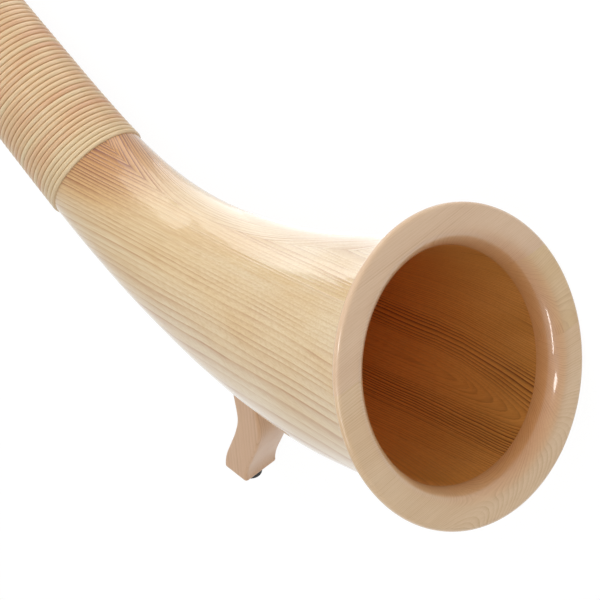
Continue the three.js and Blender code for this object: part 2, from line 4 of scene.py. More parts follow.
import bpy
import numpy as np
from mathutils import Matrix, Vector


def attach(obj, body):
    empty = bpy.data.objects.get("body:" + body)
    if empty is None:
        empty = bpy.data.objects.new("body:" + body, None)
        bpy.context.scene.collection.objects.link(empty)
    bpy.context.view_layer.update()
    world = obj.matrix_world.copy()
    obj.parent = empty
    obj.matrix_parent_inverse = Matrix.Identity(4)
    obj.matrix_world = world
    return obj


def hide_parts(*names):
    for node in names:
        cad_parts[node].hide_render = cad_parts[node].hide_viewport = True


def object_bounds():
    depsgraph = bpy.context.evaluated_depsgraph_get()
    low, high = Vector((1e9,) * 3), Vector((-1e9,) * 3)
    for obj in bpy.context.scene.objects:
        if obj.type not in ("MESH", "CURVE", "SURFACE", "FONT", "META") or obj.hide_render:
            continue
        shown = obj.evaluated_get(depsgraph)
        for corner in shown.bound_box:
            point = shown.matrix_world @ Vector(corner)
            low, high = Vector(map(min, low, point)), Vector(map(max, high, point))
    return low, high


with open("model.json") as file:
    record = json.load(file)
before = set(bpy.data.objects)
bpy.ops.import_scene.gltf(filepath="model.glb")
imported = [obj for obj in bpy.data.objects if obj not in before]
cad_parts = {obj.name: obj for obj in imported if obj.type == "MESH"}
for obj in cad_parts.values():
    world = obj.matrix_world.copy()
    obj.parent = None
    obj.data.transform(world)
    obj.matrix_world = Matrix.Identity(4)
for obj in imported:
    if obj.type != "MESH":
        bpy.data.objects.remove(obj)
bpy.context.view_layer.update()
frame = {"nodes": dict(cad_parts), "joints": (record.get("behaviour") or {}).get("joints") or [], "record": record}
print("frame loaded:", len(frame["nodes"]), "nodes")

# Millimetres, on the horn's own axes: X looks out of the bell, Y is the player's left, Z the inner side of
# the bend
horn = {
    "bellSection": 1250, "middleSection": 1080, "handSection": 1070,
    "straightMouth": 22, "bendLength": 620, "bendAngle": 59.7,
    "mouthOfBell": 110.8, "bendEnd": 54.2, "mouthEnd": 17.5, "wall": 9.5,
    "seam": 0.05,  # the glue line between the two halves
    "ringFace": (3, 0, 122),  # the point of the mount on the ring's face
    "lineStep": 2,  # between points of the centre line
    # share of the way through the bend, share of its angle, share of the flare that is left
    "bend": [
        (0, 0, 1), (0.1, 0.104, 0.899), (0.2, 0.193, 0.816), (0.32, 0.298, 0.645), (0.45, 0.419, 0.452),
        (0.58, 0.558, 0.265), (0.71, 0.749, 0.124), (0.84, 0.923, 0.042), (0.94, 0.984, 0.012), (1, 1, 0),
    ],
}
middleJoint = horn["bellSection"]
handJoint = middleJoint + horn["middleSection"]
hornEnd = handJoint + horn["handSection"]


# A vector at length one.
def unit(vector):
    return vector / np.linalg.norm(vector)


# A vector less its part along an axis of length one, at length one.
def squareTo(axis, vector):
    return unit(vector - axis * (vector @ axis))


# The horn's axes in the world: the ring's face looks along X, and the joints' axis lies in the plane of the
# bend, turned from it by the bend's angle.
def hornAxes():
    face = next(mount for mount in frame["record"]["mounts"] if mount["name"] == "bell_ring_face")
    out = np.array(face["axis"])
    back = np.array(frame["joints"][0]["axis"])
    angle = np.radians(horn["bendAngle"])
    inward = squareTo(out, (back + np.cos(angle) * out) / np.sin(angle))
    out = unit(out)
    axes = np.stack([out, np.cross(inward, out), inward])
    origin = np.array(face["pos_m"]) - np.array(horn["ringFace"]) / 1000 @ axes
    return origin, axes


origin, axes = hornAxes()


# A point in millimetres on the horn's axes becomes a point of the world in metres.
def toWorld(points):
    return origin + points @ axes / 1000


# A cubic through each pair of rows of the bend's table. Its slope at a row is the mean of the slopes of the
# lines on both sides of the row, and at an end of the table that of the one line there.
def bendAt(along):
    table = np.array(horn["bend"])
    way, shares = table[:, 0], table[:, 1:]
    curved = horn["bendLength"] - horn["straightMouth"]
    share = np.clip((np.asarray(along, float) - horn["straightMouth"]) / curved, 0, 1)
    last = len(way) - 1
    right = np.clip(np.searchsorted(way, share, side="right"), 1, last)
    left = right - 1
    before = np.where(left > 0, left - 1, right)
    after = np.where(right < last, right + 1, left)
    span = way[right] - way[left]
    lead = 0.5 * span / (way[left] - way[before])
    trail = 0.5 * span / (way[after] - way[right])
    t = (share - way[left]) / span
    weights = [
        (before, -lead * t ** 3 + 2 * lead * t ** 2 - lead * t),
        (left, (1 + lead) * t ** 3 + (-1.5 - 2 * lead) * t ** 2 + (-0.5 + lead) * t + 1),
        (right, (-1 - trail) * t ** 3 + (1.5 + trail) * t ** 2 + 0.5 * t),
        (after, trail * t ** 3 - trail * t ** 2),
    ]
    mixed = sum(weight[..., None] * shares[row] for row, weight in weights)
    return np.radians(horn["bendAngle"] * mixed[..., 0]), mixed[..., 1]


# The radius runs with the flare to the end of the bend, and from there evenly down to the mouth end.
def woodRadius(along):
    along = np.asarray(along, float)
    flare = horn["bendEnd"] + (horn["mouthOfBell"] - horn["bendEnd"]) * bendAt(along)[1]
    straight = (along - horn["bendLength"]) / (hornEnd - horn["bendLength"])
    cone = horn["bendEnd"] + (horn["mouthEnd"] - horn["bendEnd"]) * straight
    return np.where(along < horn["bendLength"], flare, cone)


# The bore's radius is the wood's less the wall.
def boreRadius(along):
    return woodRadius(along) - horn["wall"]


# The centre line is the running sum of small steps along (-cos angle, 0, sin angle).
lineAlong = np.linspace(0, horn["bendLength"], horn["bendLength"] // horn["lineStep"] + 1)
stepAngle = bendAt((lineAlong[1:] + lineAlong[:-1]) / 2)[0]
stepWay = np.stack([-np.cos(stepAngle), np.sin(stepAngle)], -1) * horn["lineStep"]
linePoints = np.concatenate([np.zeros((1, 2)), np.cumsum(stepWay, 0)])


# A place on the centre line: its point, the way back along the horn, and the way into the bend.
def place(along):
    along = np.asarray(along, float)
    angle = bendAt(along)[0]
    none = np.zeros_like(angle)
    back = np.stack([-np.cos(angle), none, np.sin(angle)], -1)
    inward = np.stack([np.sin(angle), none, np.cos(angle)], -1)
    on = np.clip(along, 0, horn["bendLength"])
    x, z = [np.interp(on, lineAlong, column) for column in linePoints.T]
    return np.stack([x, none, z], -1) + back * (along - on)[..., None], back, inward


# Round the centre line: point + radius * (sin turn * across + cos turn * inward).
def roundHorn(along, turn, radius):
    point, _, inward = place(along)
    across = np.array([0.0, 1.0, 0.0])
    turn, radius = np.asarray(turn)[..., None], np.asarray(radius)[..., None]
    return point + radius * (np.sin(turn) * across + np.cos(turn) * inward)


# Meshes

# Quads between neighbouring rows and columns of a grid; a closed side joins its last line to its first.
def gridQuads(rows, columns, closedRows=False, closedColumns=True):
    row = np.arange(rows if closedRows else rows - 1)[:, None]
    column = np.arange(columns if closedColumns else columns - 1)[None, :]
    nextRow, nextColumn = (row + 1) % rows, (column + 1) % columns
    corners = [row * columns + column, row * columns + nextColumn,
               nextRow * columns + nextColumn, nextRow * columns + column]
    return np.stack(corners, -1).reshape(-1, 4)


# A tube of quads, closed at each end by one face through its whole row, or by the faces given for its first
# row.
def cappedTube(rows, columns, cap=None):
    cap = np.arange(columns)[None, :] if cap is None else cap
    return [gridQuads(rows, columns), cap[:, ::-1], cap + (rows - 1) * columns]


# Six times the enclosed volume is the sum of a . (b x c) over a fan of triangles in each face.
def pointsInwards(points, faces):
    volume = 0.0
    for group in faces:
        for corner in range(1, group.shape[1] - 1):
            a, b, c = points[group[:, 0]], points[group[:, corner]], points[group[:, corner + 1]]
            volume += np.einsum("ij,ij->", a, np.cross(b, c))
    return volume < 0


# A piece of the horn. Its points are on the horn's axes, its faces are groups with as many corners each, and each
# of its attributes holds one number or vector a point. Its finish names its material, and an edge stays sharp
# where its faces turn by more than sharp degrees.
def addPiece(name, points, faces, finish, body, node, attributes=None, sharp=35):
    world = toWorld(points.reshape(-1, 3))
    if pointsInwards(world - world.mean(0), faces):
        faces = [group[:, ::-1] for group in faces]
    corners = np.concatenate([group.ravel() for group in faces]).astype(np.int32)
    counts = np.concatenate([np.full(len(group), group.shape[1]) for group in faces])
    mesh = bpy.data.meshes.new(name)
    mesh.vertices.add(len(world))
    mesh.vertices.foreach_set("co", world.astype(np.float32).ravel())
    mesh.loops.add(len(corners))
    mesh.loops.foreach_set("vertex_index", corners)
    mesh.polygons.add(len(counts))
    mesh.polygons.foreach_set("loop_start", (np.cumsum(counts) - counts).astype(np.int32))
    mesh.update(calc_edges=True)
    mesh.validate()
    for label, values in (attributes or {}).items():
        values = np.asarray(values, np.float32)
        vector = values.size == 3 * len(world)
        layer = mesh.attributes.new(label, "FLOAT_VECTOR" if vector else "FLOAT", "POINT")
        layer.data.foreach_set("vector" if vector else "value", values.ravel())
    mesh.shade_smooth()
    mesh.set_sharp_from_angle(angle=np.radians(sharp))
    mesh.materials.append(finishes[finish])
    piece = bpy.data.objects.new(name, mesh)
    bpy.context.scene.collection.objects.link(piece)
    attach(piece, body)
    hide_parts(node)
    return piece


# Each corner of a closed outline gives way to the curve (1-t)^2 a + 2t(1-t) corner + t^2 b, whose ends a
# and b lie on its two edges at the corner's round, or just short of half the edge where that is less.
def roundedOutline(corners, rounds, steps=6, nearHalf=0.49):
    corners = np.asarray(corners, float)
    rounds = np.broadcast_to(np.asarray(rounds, float), len(corners))
    edges = [np.roll(corners, shift, 0) - corners for shift in (1, -1)]
    lengths = [np.linalg.norm(edge, axis=1) for edge in edges]
    a, b = [corners + edge * (np.minimum(rounds, length * nearHalf) / length)[:, None]
            for edge, length in zip(edges, lengths)]
    t = np.linspace(0, 1, steps)[None, :, None]
    curve = (1 - t) ** 2 * a[:, None] + 2 * t * (1 - t) * corners[:, None] + t ** 2 * b[:, None]
    return curve.reshape(-1, 2)


# The section of a tube: its inside and outside radius, and the heights of its two ends.
def tubeSection(inside, outside, start, finish):
    return [(inside, start), (outside, start), (outside, finish), (inside, finish)]


# A turned piece: an outline of radius and height goes round an axis, at base + height * up
# + radius * (cos turn * side + sin turn * other).
def turned(outline, seat, count=96):
    outline = np.asarray(outline, float)
    base, side, up, other = seat
    turn = np.linspace(0, 2 * np.pi, count, endpoint=False)[:, None, None]
    radius, height = outline[None, :, 0, None], outline[None, :, 1, None]
    points = base + height * up + radius * (np.cos(turn) * side + np.sin(turn) * other)
    return points, [gridQuads(count, len(outline), closedRows=True)]


# The seat of a turned piece on the centre line: its base, its side, the way back along the horn, and
# across.
def seatAt(along):
    point, back, inward = place(along)
    return point, -inward, back, np.array([0.0, 1.0, 0.0])


print("shapes of the horn ready")


# Materials

# A byte of an sRGB hex colour over 255 becomes ((c + 0.055) / 1.055) ^ 2.4, or c / 12.92 when it is dark.
def linear(colour):
    srgb = np.array([int(colour[i:i + 2], 16) for i in (1, 3, 5)]) / 255
    values = np.where(srgb <= 0.04045, srgb / 12.92, ((srgb + 0.055) / 1.055) ** 2.4)
    return (*values.tolist(), 1.0)


# A node with its settings. Each input named in links gets its value, or a link from a socket or from the
# first output that a node shows. Some inputs go by number: in Map Range 1 and 2 are the range read and 3
# and 4 the range given, and in a Mix of colours 0 is the share of the second colour, and 6 and 7 are the
# two.
def addNode(tree, kind, links, **settings):
    node = tree.nodes.new("ShaderNode" + kind)
    for key, value in settings.items():
        setattr(node, key, value)
    for socket, value in links.items():
        if isinstance(value, bpy.types.Node):
            value = next(output for output in value.outputs if output.enabled)
        if isinstance(value, bpy.types.NodeSocket):
            tree.links.new(value, node.inputs[socket])
        else:
            node.inputs[socket].default_value = value
    return node


noiseSpan = {1: 0.35, 2: 0.65}  # where most of a noise's values lie, as Map Range reads them


# A colour ramp's stops: a place from 0 to 1 and a colour, or a grey level.
def setStops(ramp, stops):
    elements = ramp.color_ramp.elements
    while len(elements) < len(stops):
        elements.new(0.5)
    for element, (position, value) in zip(elements, stops):
        element.position = position
        element.color = linear(value) if isinstance(value, str) else (value, value, value, 1)


# Empties the node tree of a material or of the world, and gives what adds a node to it.
def emptied(owner):
    owner.use_nodes = True
    owner.node_tree.nodes.clear()
    return partial(addNode, owner.node_tree)


# What all the wood shares. A noise has how often it changes in a millimetre across the rings, along the
# fibres and past both, its detail and its roughness: bends move the rings, fades lighten them, patches warm
# the early wood.
woodNoises = {
    "bends": ((0.014, 0.0025, 0.014), 2.0, 0.5), "fades": ((0.05, 0.007, 0.05), 2.0, 0.5),
    "patches": ((0.03, 0.004, 0.03), 3.0, 0.5),
}
# Of each noise, the values that Map Range reads
woodRanges = {"fades": {1: 0.35, 2: 0.6}, "patches": noiseSpan, "streaks": {1: 0.4, 2: 0.75}}
woodShader = {"Roughness": 0.4, "IOR": 1.5, "Coat IOR": 1.5}
ringCrest = 0.82  # the share of a ring's width where it swells highest


# Wood in growth rings. The attribute grain holds, in millimetres, the place across the rings, along the
# fibres and past both, and rings counts the growth rings. Across a ring the colour runs from early to late
# wood and falls back sharply at the next one. Late is how dark the late wood is there, and tone how far the
# wood has turned to its second pair of colours.
def ringedWood(name, wood):
    material = bpy.data.materials.new(name)
    add = emptied(material)
    grain = add("Attribute", {}, attribute_name="grain").outputs["Vector"]
    rings, strength, tone = [add("Attribute", {}, attribute_name=label).outputs["Fac"]
                             for label in ("rings", "late", "tone")]
    noises = {}
    for label, (often, detail, rough) in dict(woodNoises, fibres=(wood["fibreScale"], 3.0, 0.6)).items():
        spot = add("VectorMath", {0: grain, 1: often}, operation="MULTIPLY")
        noises[label] = add("TexNoise", {"Vector": spot, "Scale": 1.0, "Detail": detail, "Roughness": rough})

    wander = add("Math", {0: noises["bends"], 1: wood["wander"], 2: rings}, operation="MULTIPLY_ADD")
    uneven = add("TexNoise", {"W": rings, "Scale": wood["unevenness"], "Detail": 1.0},
                 noise_dimensions="1D")
    count = add("Math", {0: uneven, 1: wood["uneven"], 2: wander}, operation="MULTIPLY_ADD")
    phase = add("Math", {0: count}, operation="FRACT")
    number = add("Math", {0: count}, operation="FLOOR")
    year = add("TexWhiteNoise", {"W": number}, noise_dimensions="1D")
    late = add("ValToRGB", {0: phase})
    setStops(late, [(0.0, 0.55), (0.04, 0.0), (wood["lateFrom"], 0.08), (0.8, 0.6), (0.9, 1.0), (0.97, 1.0),
                    (1.0, 0.55)])
    fades = add("MapRange", {0: noises["fades"], **woodRanges["fades"], 3: 1 - wood["fading"], 4: 1.0})
    lateness = add("MapRange", {0: year, 3: 1 - wood["yearSpread"], 4: 1.0})
    for factor in (strength, fades, late):
        lateness = add("Math", {0: lateness, 1: factor}, operation="MULTIPLY")

    patch = add("MapRange", {0: noises["patches"], **woodRanges["patches"]})
    early = add("Mix", {0: patch, 6: linear(wood["early"]), 7: linear(wood["earlyWarm"])},
                data_type="RGBA")
    early = add("Mix", {0: tone, 6: early, 7: linear(wood["toneEarly"])}, data_type="RGBA")
    dark = add("Mix", {0: tone, 6: linear(wood["late"]), 7: linear(wood["toneLate"])}, data_type="RGBA")
    banded = add("Mix", {0: lateness, 6: early, 7: dark}, data_type="RGBA")
    streak = add("MapRange", {0: noises["fibres"], **woodRanges["streaks"], 3: 0.0, 4: wood["fibre"]})
    colour = add("Mix", {0: streak, 6: banded, 7: linear(wood["fibreColour"])}, data_type="RGBA",
                 blend_type="MULTIPLY")

    swell = add("MapRange", {0: phase, 1: 0.0, 2: ringCrest}, interpolation_type="SMOOTHSTEP")
    fall = add("MapRange", {0: phase, 1: ringCrest, 2: 1.0, 3: 1.0, 4: 0.0},
               interpolation_type="SMOOTHSTEP")
    for factor in (fall, year):
        swell = add("Math", {0: swell, 1: factor}, operation="MULTIPLY")
    height = add("Math", {0: noises["fibres"], 1: wood["fibreRelief"]}, operation="MULTIPLY")
    for form, share in ((swell, wood["swell"]), (lateness, wood["ridge"])):
        height = add("Math", {0: form, 1: share, 2: height}, operation="MULTIPLY_ADD")
    bump = add("Bump", {"Height": height, "Distance": 0.001, "Strength": 1.0})  # heights in millimetres
    shader = add("BsdfPrincipled", {
        "Base Color": colour, "Normal": bump, "Coat Normal": bump, "Coat Weight": wood["varnish"],
        "Coat Roughness": wood["gloss"], **woodShader})
    add("OutputMaterial", {"Surface": shader})
    return material


# Spruce, planed and varnished to a gloss: pale yellow early wood with orange-brown lines of late wood that
# stand up a little under the varnish, and a deeper orange where the boards' heart comes to the surface by
# the wrap
spruceLook = {
    "wander": 1.6, "unevenness": 0.4, "uneven": 1.7, "yearSpread": 0.5, "lateFrom": 0.35, "fading": 0.5,
    "early": "#E2CCA3", "earlyWarm": "#DCBE8A", "late": "#AE7438", "toneEarly": "#CE954F",
    "toneLate": "#83420C", "fibreScale": (0.9, 0.03, 0.9), "fibre": 0.5, "fibreColour": "#DCC59A",
    "ridge": 0.04, "swell": 0.16, "fibreRelief": 0.008, "varnish": 1.0, "gloss": 0.04,
}
# The same spruce in the bore, oiled: orange-brown, with little gloss. From the mouth inward its colour turns to
# the brighter, more orange tone colours, painted light against the shade that falls deeper in the bell
boreLookWithPaintedLight = dict(spruceLook, early="#CF9048", earlyWarm="#C5873E", late="#5C2407", toneEarly="#F6A34C",
                toneLate="#702E08", yearSpread=0.3, fading=0.15, ridge=0.03, swell=0.04, varnish=0.15,
                gloss=0.3)
# Maple, turned and varnished: a pale tan with close, faint rings, and darker and more orange on the ring's roll
# towards the throat
mapleLook = {
    "wander": 0.35, "unevenness": 0.3, "uneven": 0.8, "yearSpread": 0.6, "lateFrom": 0.3, "fading": 0.7,
    "early": "#DFC092", "earlyWarm": "#DAB987", "late": "#CAA476", "toneEarly": "#C9935F",
    "toneLate": "#AE7440", "fibreScale": (1.0, 0.05, 1.0), "fibre": 0.2, "fibreColour": "#DCC6A8",
    "ridge": 0.004, "swell": 0.006, "fibreRelief": 0.003, "varnish": 1.0, "gloss": 0.08,
}
upperMapleLook = dict(mapleLook, early="#E2C2A0", earlyWarm="#DDBB98", late="#CDA782")
lowerMapleLook = dict(mapleLook, early="#E1C29B", earlyWarm="#DDBB91")
# Maple of the foot, sawn, sanded and varnished thinly: darker and duller than the ring's
footLook = dict(mapleLook, early="#D4AA82", earlyWarm="#D0A275", late="#BB8A5B", varnish=0.4, gloss=0.3)

finishes = {
    "spruce": ringedWood("spruce varnished", spruceLook),
    # The bore's finish has painted light: its colour brightens deeper in the bell
    "spruce oiled with painted light": ringedWood("spruce oiled with painted light", boreLookWithPaintedLight),
    "maple": ringedWood("maple turned and varnished", mapleLook),
    "maple upper": ringedWood("maple turned and varnished pinker", upperMapleLook),
    "maple lower": ringedWood("maple turned and varnished paler", lowerMapleLook),
    "maple foot": ringedWood("maple sawn and sanded", footLook),
}

# Split cane, half round and lightly varnished: its colour drifts along the strip, with fine lines of its
# vessels
caneLook = {
    "drift": [(0.32, "#DFC9A2"), (0.5, "#DDBB92"), (0.66, "#D6AA84")], "driftSpan": 230.0,
    "pale": "#DFC9A2", "paleTurns": 3.6, "paleShare": 0.85,  # the first turns
    "line": "#C49C6C", "lineShare": 0.45, "lineSpan": {1: 0.45, 2: 0.75}, "lineSpacing": 0.55,
    "lineStretch": (0.02, 0.37), "relief": 0.1, "reliefStrength": 0.6, "roughness": 0.3,
}


# Cane from the attribute strip, which holds the place across the strip, the way along it in millimetres and
# the turn. Noise along the way picks the colour, and noise drawn out along it the lines.
def splitCane(name, look):
    material = bpy.data.materials.new(name)
    add = emptied(material)
    strip = add("Attribute", {}, attribute_name="strip").outputs["Vector"]
    _, way, turn = add("SeparateXYZ", {0: strip}).outputs
    drift = add("TexNoise", {"W": way, "Scale": 1 / look["driftSpan"], "Detail": 3.0, "Roughness": 0.7},
                noise_dimensions="1D")
    shade = add("ValToRGB", {0: drift})
    setStops(shade, look["drift"])
    first = add("MapRange", {0: turn, 1: look["paleTurns"] - 1, 2: look["paleTurns"] + 1,
                             3: look["paleShare"], 4: 0.0})
    base = add("Mix", {0: first, 6: shade, 7: linear(look["pale"])}, data_type="RGBA")
    often = (1 / look["lineSpacing"], *look["lineStretch"])
    drawnOut = add("VectorMath", {0: strip, 1: often}, operation="MULTIPLY")
    vessels = add("TexNoise", {"Vector": drawnOut, "Scale": 1.0, "Detail": 2.0})
    mark = add("MapRange", {0: vessels, **look["lineSpan"], 3: 0.0, 4: look["lineShare"]})
    colour = add("Mix", {0: mark, 6: base, 7: linear(look["line"])}, data_type="RGBA")
    bump = add("Bump", {"Height": vessels, "Distance": look["relief"] / 1000,
                        "Strength": look["reliefStrength"]})
    shader = add("BsdfPrincipled", {"Base Color": colour, "Normal": bump, "Roughness": look["roughness"]})
    add("OutputMaterial", {"Surface": shader})
    return material


finishes["cane"] = splitCane("rattan cane split and varnished", caneLook)


# A plain finish with a fine mottle: two colours mixed by noise of a given grain size in millimetres, and
# its relief.
def mottled(name, look):
    material = bpy.data.materials.new(name)
    add = emptied(material)
    spot = add("TexCoord", {}).outputs["Object"]
    grains = add("TexNoise", {"Vector": spot, "Scale": 1000 / look["grain"], "Detail": 4.0})
    share = add("MapRange", {0: grains, **noiseSpan})
    colour = add("Mix", {0: share, 6: linear(look["low"]), 7: linear(look["high"])}, data_type="RGBA")
    rough = add("MapRange", {0: grains, 3: look["roughness"] - look["spread"],
                             4: look["roughness"] + look["spread"]})
    bump = add("Bump", {"Height": grains, "Distance": look["relief"] / 1000, "Strength": 1.0})
    shader = add("BsdfPrincipled", {"Base Color": colour, "Roughness": rough, "Normal": bump,
                                    "Metallic": look["metallic"]})
    add("OutputMaterial", {"Surface": shader})
    return material


mottledLooks = {
    # near black, dull, with the fine grain of its mould
    "rubber moulded": {"grain": 0.8, "low": "#101010", "high": "#1C1B1A", "roughness": 0.62, "spread": 0.08,
                       "relief": 0.03, "metallic": 0.0},
    # bright grey with a satin sheen
    "aluminium turned": {"grain": 0.5, "low": "#C2C5C8", "high": "#D2D4D6", "roughness": 0.3, "spread": 0.06,
                         "relief": 0.005, "metallic": 1.0},
    # greyer, and a little mottled
    "steel zinc plated": {"grain": 0.9, "low": "#A9ABAC", "high": "#BDBFC0", "roughness": 0.34,
                          "spread": 0.08, "relief": 0.006, "metallic": 1.0},
    # light brown granules with darker ones among them
    "cork sheet sanded": {"grain": 1.6, "low": "#8F6238", "high": "#C79A66", "roughness": 0.85,
                          "spread": 0.06, "relief": 0.15, "metallic": 0.0},
}
for name, look in mottledLooks.items():
    finishes[name.split()[0]] = mottled(name, look)
print("materials ready")

# Bell section

# The boards that the halves were cut from. A growth ring is flat across a board, on planes that the other
# half's mirror, and in the left half's bore it bends round the heart of the tree, which follows the horn's
# own bend.
boards = {
    "ringNormal": (0.25, 0.769, 0.588), "fibre": (-0.9, 0, 0.43),
    # place along the horn, the heart's turn round it in degrees, and how deep the heart lies in the wood
    # there
    "heart": [(0, 152.0, 21.0), (30, 147.0, 17.0), (60, 141.5, 13.0), (100, 135.5, 7.0), (130, 132.5, 5.0),
              (190, 129.5, 4.0), (300, 126.0, 4.0), (620, 126.0, 4.0)],
    # millimetres across the rings, the width of a ring there, and how dark its late wood is
    "flat": [(-130, 7.4, 0.8), (-95, 6.8, 0.85), (-60, 5.8, 0.8), (-42, 5.0, 0.75), (-26, 4.2, 0.6),
             (-8, 3.2, 0.5), (12, 3.5, 1.0), (40, 3.8, 1.0), (120, 5.0, 0.8)],
    "flatBore": [(-130, 2.3, 0.35), (120, 2.3, 0.35)],
    "roundUpper": [(0, 2.0, 0.2), (19, 2.0, 0.35), (23, 3.4, 1.0), (44, 4.0, 1.1), (50, 2.3, 0.6),
                   (130, 2.0, 0.5)],
    "roundLower": [(0, 2.0, 0.2), (19, 2.0, 0.35), (23, 2.4, 1.0), (46, 2.6, 1.2), (52, 2.3, 0.5),
                   (130, 2.0, 0.45)],
    # the deeper tone by the wrap: where it comes in and where it goes along the horn, where it comes in
    # across the rings, and how dark its late wood is
    "toneAlong": (390, 510), "toneEnd": (760, 600), "toneAcross": (-58, 24), "toneStrength": 2.3,
    "paintedLightAlong": (20, 190),  # where the bore is painted brighter deeper in: painted light against the shade that falls there
}


# Rings counted: the running sum of step / width over the table. The late wood's darkness is read from it
# too.
def ringsAcross(across, table, step=0.5):
    table = np.array(table, float)
    fine = np.arange(across.min() - 2 * step, across.max() + 3 * step, step)
    width = np.interp(fine, table[:, 0], table[:, 1])
    count = np.concatenate([[0], np.cumsum(2 * step / (width[1:] + width[:-1]))])
    return np.interp(across, fine, count), np.interp(across, table[:, 0], table[:, 2])


# How far a place lies between two others, eased at both: s^2 * (3 - 2s).
def eased(values, start, finish):
    share = np.clip((np.asarray(values, float) - start) / (finish - start), 0, 1)
    return share * share * (3 - 2 * share)


# Place in the board: across the rings, along the fibres, and past both. The rings are planes across
# ringNormal, or go round the heart at radius^2 = inner^2 + heartAt^2 - 2 * inner * heartAt * cos(turn -
# heartTurn).
def spruceGrain(points, along, turn, side, inBore):
    normal = unit(np.array(boards["ringNormal"]) * (1, -side, 1))
    fibre = squareTo(normal, np.array(boards["fibre"]))
    across, lengthwise, past = points @ normal, points @ fibre, points @ np.cross(normal, fibre)
    rings, late = ringsAcross(across, boards["flat"])
    if side < 0:
        boreRings, boreLate = ringsAcross(across, boards["flatBore"])
    else:
        line = np.array(boards["heart"])
        heartTurn = np.radians(np.interp(along, line[:, 0], line[:, 1]))
        inner = boreRadius(along)
        heartAt = inner + np.interp(along, line[:, 0], line[:, 2])
        radius = np.sqrt(inner ** 2 + heartAt ** 2 - 2 * inner * heartAt * np.cos(turn - heartTurn))
        upper, lower = [ringsAcross(radius, boards[label]) for label in ("roundUpper", "roundLower")]
        boreRings, boreLate = [np.where(turn < heartTurn, *pair) for pair in zip(upper, lower)]
        across, lengthwise = np.where(inBore, radius, across), np.where(inBore, along, lengthwise)
        past = np.where(inBore, turn * inner, past)
    rings, late = np.where(inBore, boreRings, rings), np.where(inBore, boreLate, late)
    byWrap = eased(along, *boards["toneAlong"]) * eased(across, *boards["toneAcross"])
    byWrap = byWrap * eased(along, *boards["toneEnd"])
    late = np.where(inBore, late, late + (boards["toneStrength"] - late) * byWrap)
    # In the bore, tone is painted light: it brightens the wood deeper in, where less light reaches
    tone = np.where(inBore, eased(along, *boards["paintedLightAlong"]), byWrap)
    return {"grain": np.stack([across, lengthwise, past], -1), "rings": rings, "late": late, "tone": tone}


# Half of a wooden tube: an arc outside and an arc inside from seam to seam, carried along the centre line.
# A station is a place along it, its outside and its inside radius.
def halfTube(name, stations, side, body, arcPoints=73):
    along, outside, inside = np.array(stations, float).T
    share = np.linspace(0, 1, arcPoints)[None, :]
    arcs, turns = [], []
    for radius in (outside, inside):
        lift = np.arcsin(horn["seam"] / 2 / radius)[:, None]
        turn = side * (lift + (np.pi - 2 * lift) * share)
        arcs.append(roundHorn(along[:, None] + 0 * share, turn, radius[:, None] + 0 * share))
        turns.append(turn)
    points = np.concatenate([arcs[0], arcs[1][:, ::-1]], 1)
    turn = np.concatenate([turns[0], turns[1][:, ::-1]], 1)
    rows, columns = points.shape[:2]
    near = np.arange(arcPoints - 1)
    cap = np.stack([near, near + 1, columns - 2 - near, columns - 1 - near], -1)
    faces = cappedTube(rows, columns, cap)
    alongAll = np.broadcast_to(along[:, None], (rows, columns))
    inBore = np.broadcast_to(np.arange(columns)[None, :] >= arcPoints, (rows, columns))
    piece = addPiece(name.replace("half", "spruce"), points, faces, "spruce", body, name,
                     spruceGrain(points, alongAll, turn, side, inBore))
    # The bore's faces take the oiled spruce, painted brighter deeper in as painted light
    piece.data.materials.append(finishes["spruce oiled with painted light"])
    column = np.broadcast_to(np.arange(columns)[None, :], (rows - 1, columns)).ravel()
    kinds = np.zeros(sum(len(group) for group in faces), np.int32)
    kinds[:len(column)] = (column >= arcPoints) & (column < columns - 1)
    piece.data.polygons.foreach_set("material_index", kinds)


joint = {
    "tenonLength": 55, "tenonSeat": 30, "tenonWall": 3, "tenonPlay": 0.5, "socketWall": 1.5,
    "socketSpare": 0.6, "grooveDepth": 1.6, "grooveWidth": 3, "seals": (0.3, 0.72), "sealPlay": 0.02,
    "collarLength": 28, "collarProud": 3, "collarRound": 4, "caneRoom": 2.6, "gap": 0.3,
    "fit": 0.05, "stepRun": 0.05,  # along the horn, over which the wall steps in or out
}
socketDepth = joint["tenonLength"] + joint["socketSpare"]


# Radii of the metal at a joint, out from the bore there.
def jointSizes(along):
    bore = float(boreRadius(along))
    tenon = bore + joint["tenonWall"]
    socketBore = tenon + joint["tenonPlay"]
    return {"bore": bore, "tenon": tenon, "groove": tenon - joint["grooveDepth"],
            "socketBore": socketBore, "socket": socketBore + joint["socketWall"]}


# Stations of plain wall from one place to another, at about the given spacing.
def wallStations(start, finish, spacing):
    along = np.linspace(start, finish, int(np.ceil((finish - start) / spacing)) + 1)
    return list(zip(along, woodRadius(along), boreRadius(along)))


# The last stations before a joint, bored out for the socket.
def socketStations(at):
    seat, bored = at - socketDepth, jointSizes(at)["socket"] + joint["fit"]
    return [(seat, float(woodRadius(seat)), bored), (at, float(woodRadius(at)), bored)]


# The first stations after a joint, bored out for the tenon.
def tenonStations(at):
    seat, bored = at + joint["tenonSeat"], jointSizes(at)["tenon"] + joint["fit"]
    return [(at + joint["fit"], float(woodRadius(at)), bored), (seat, float(woodRadius(seat)), bored)]


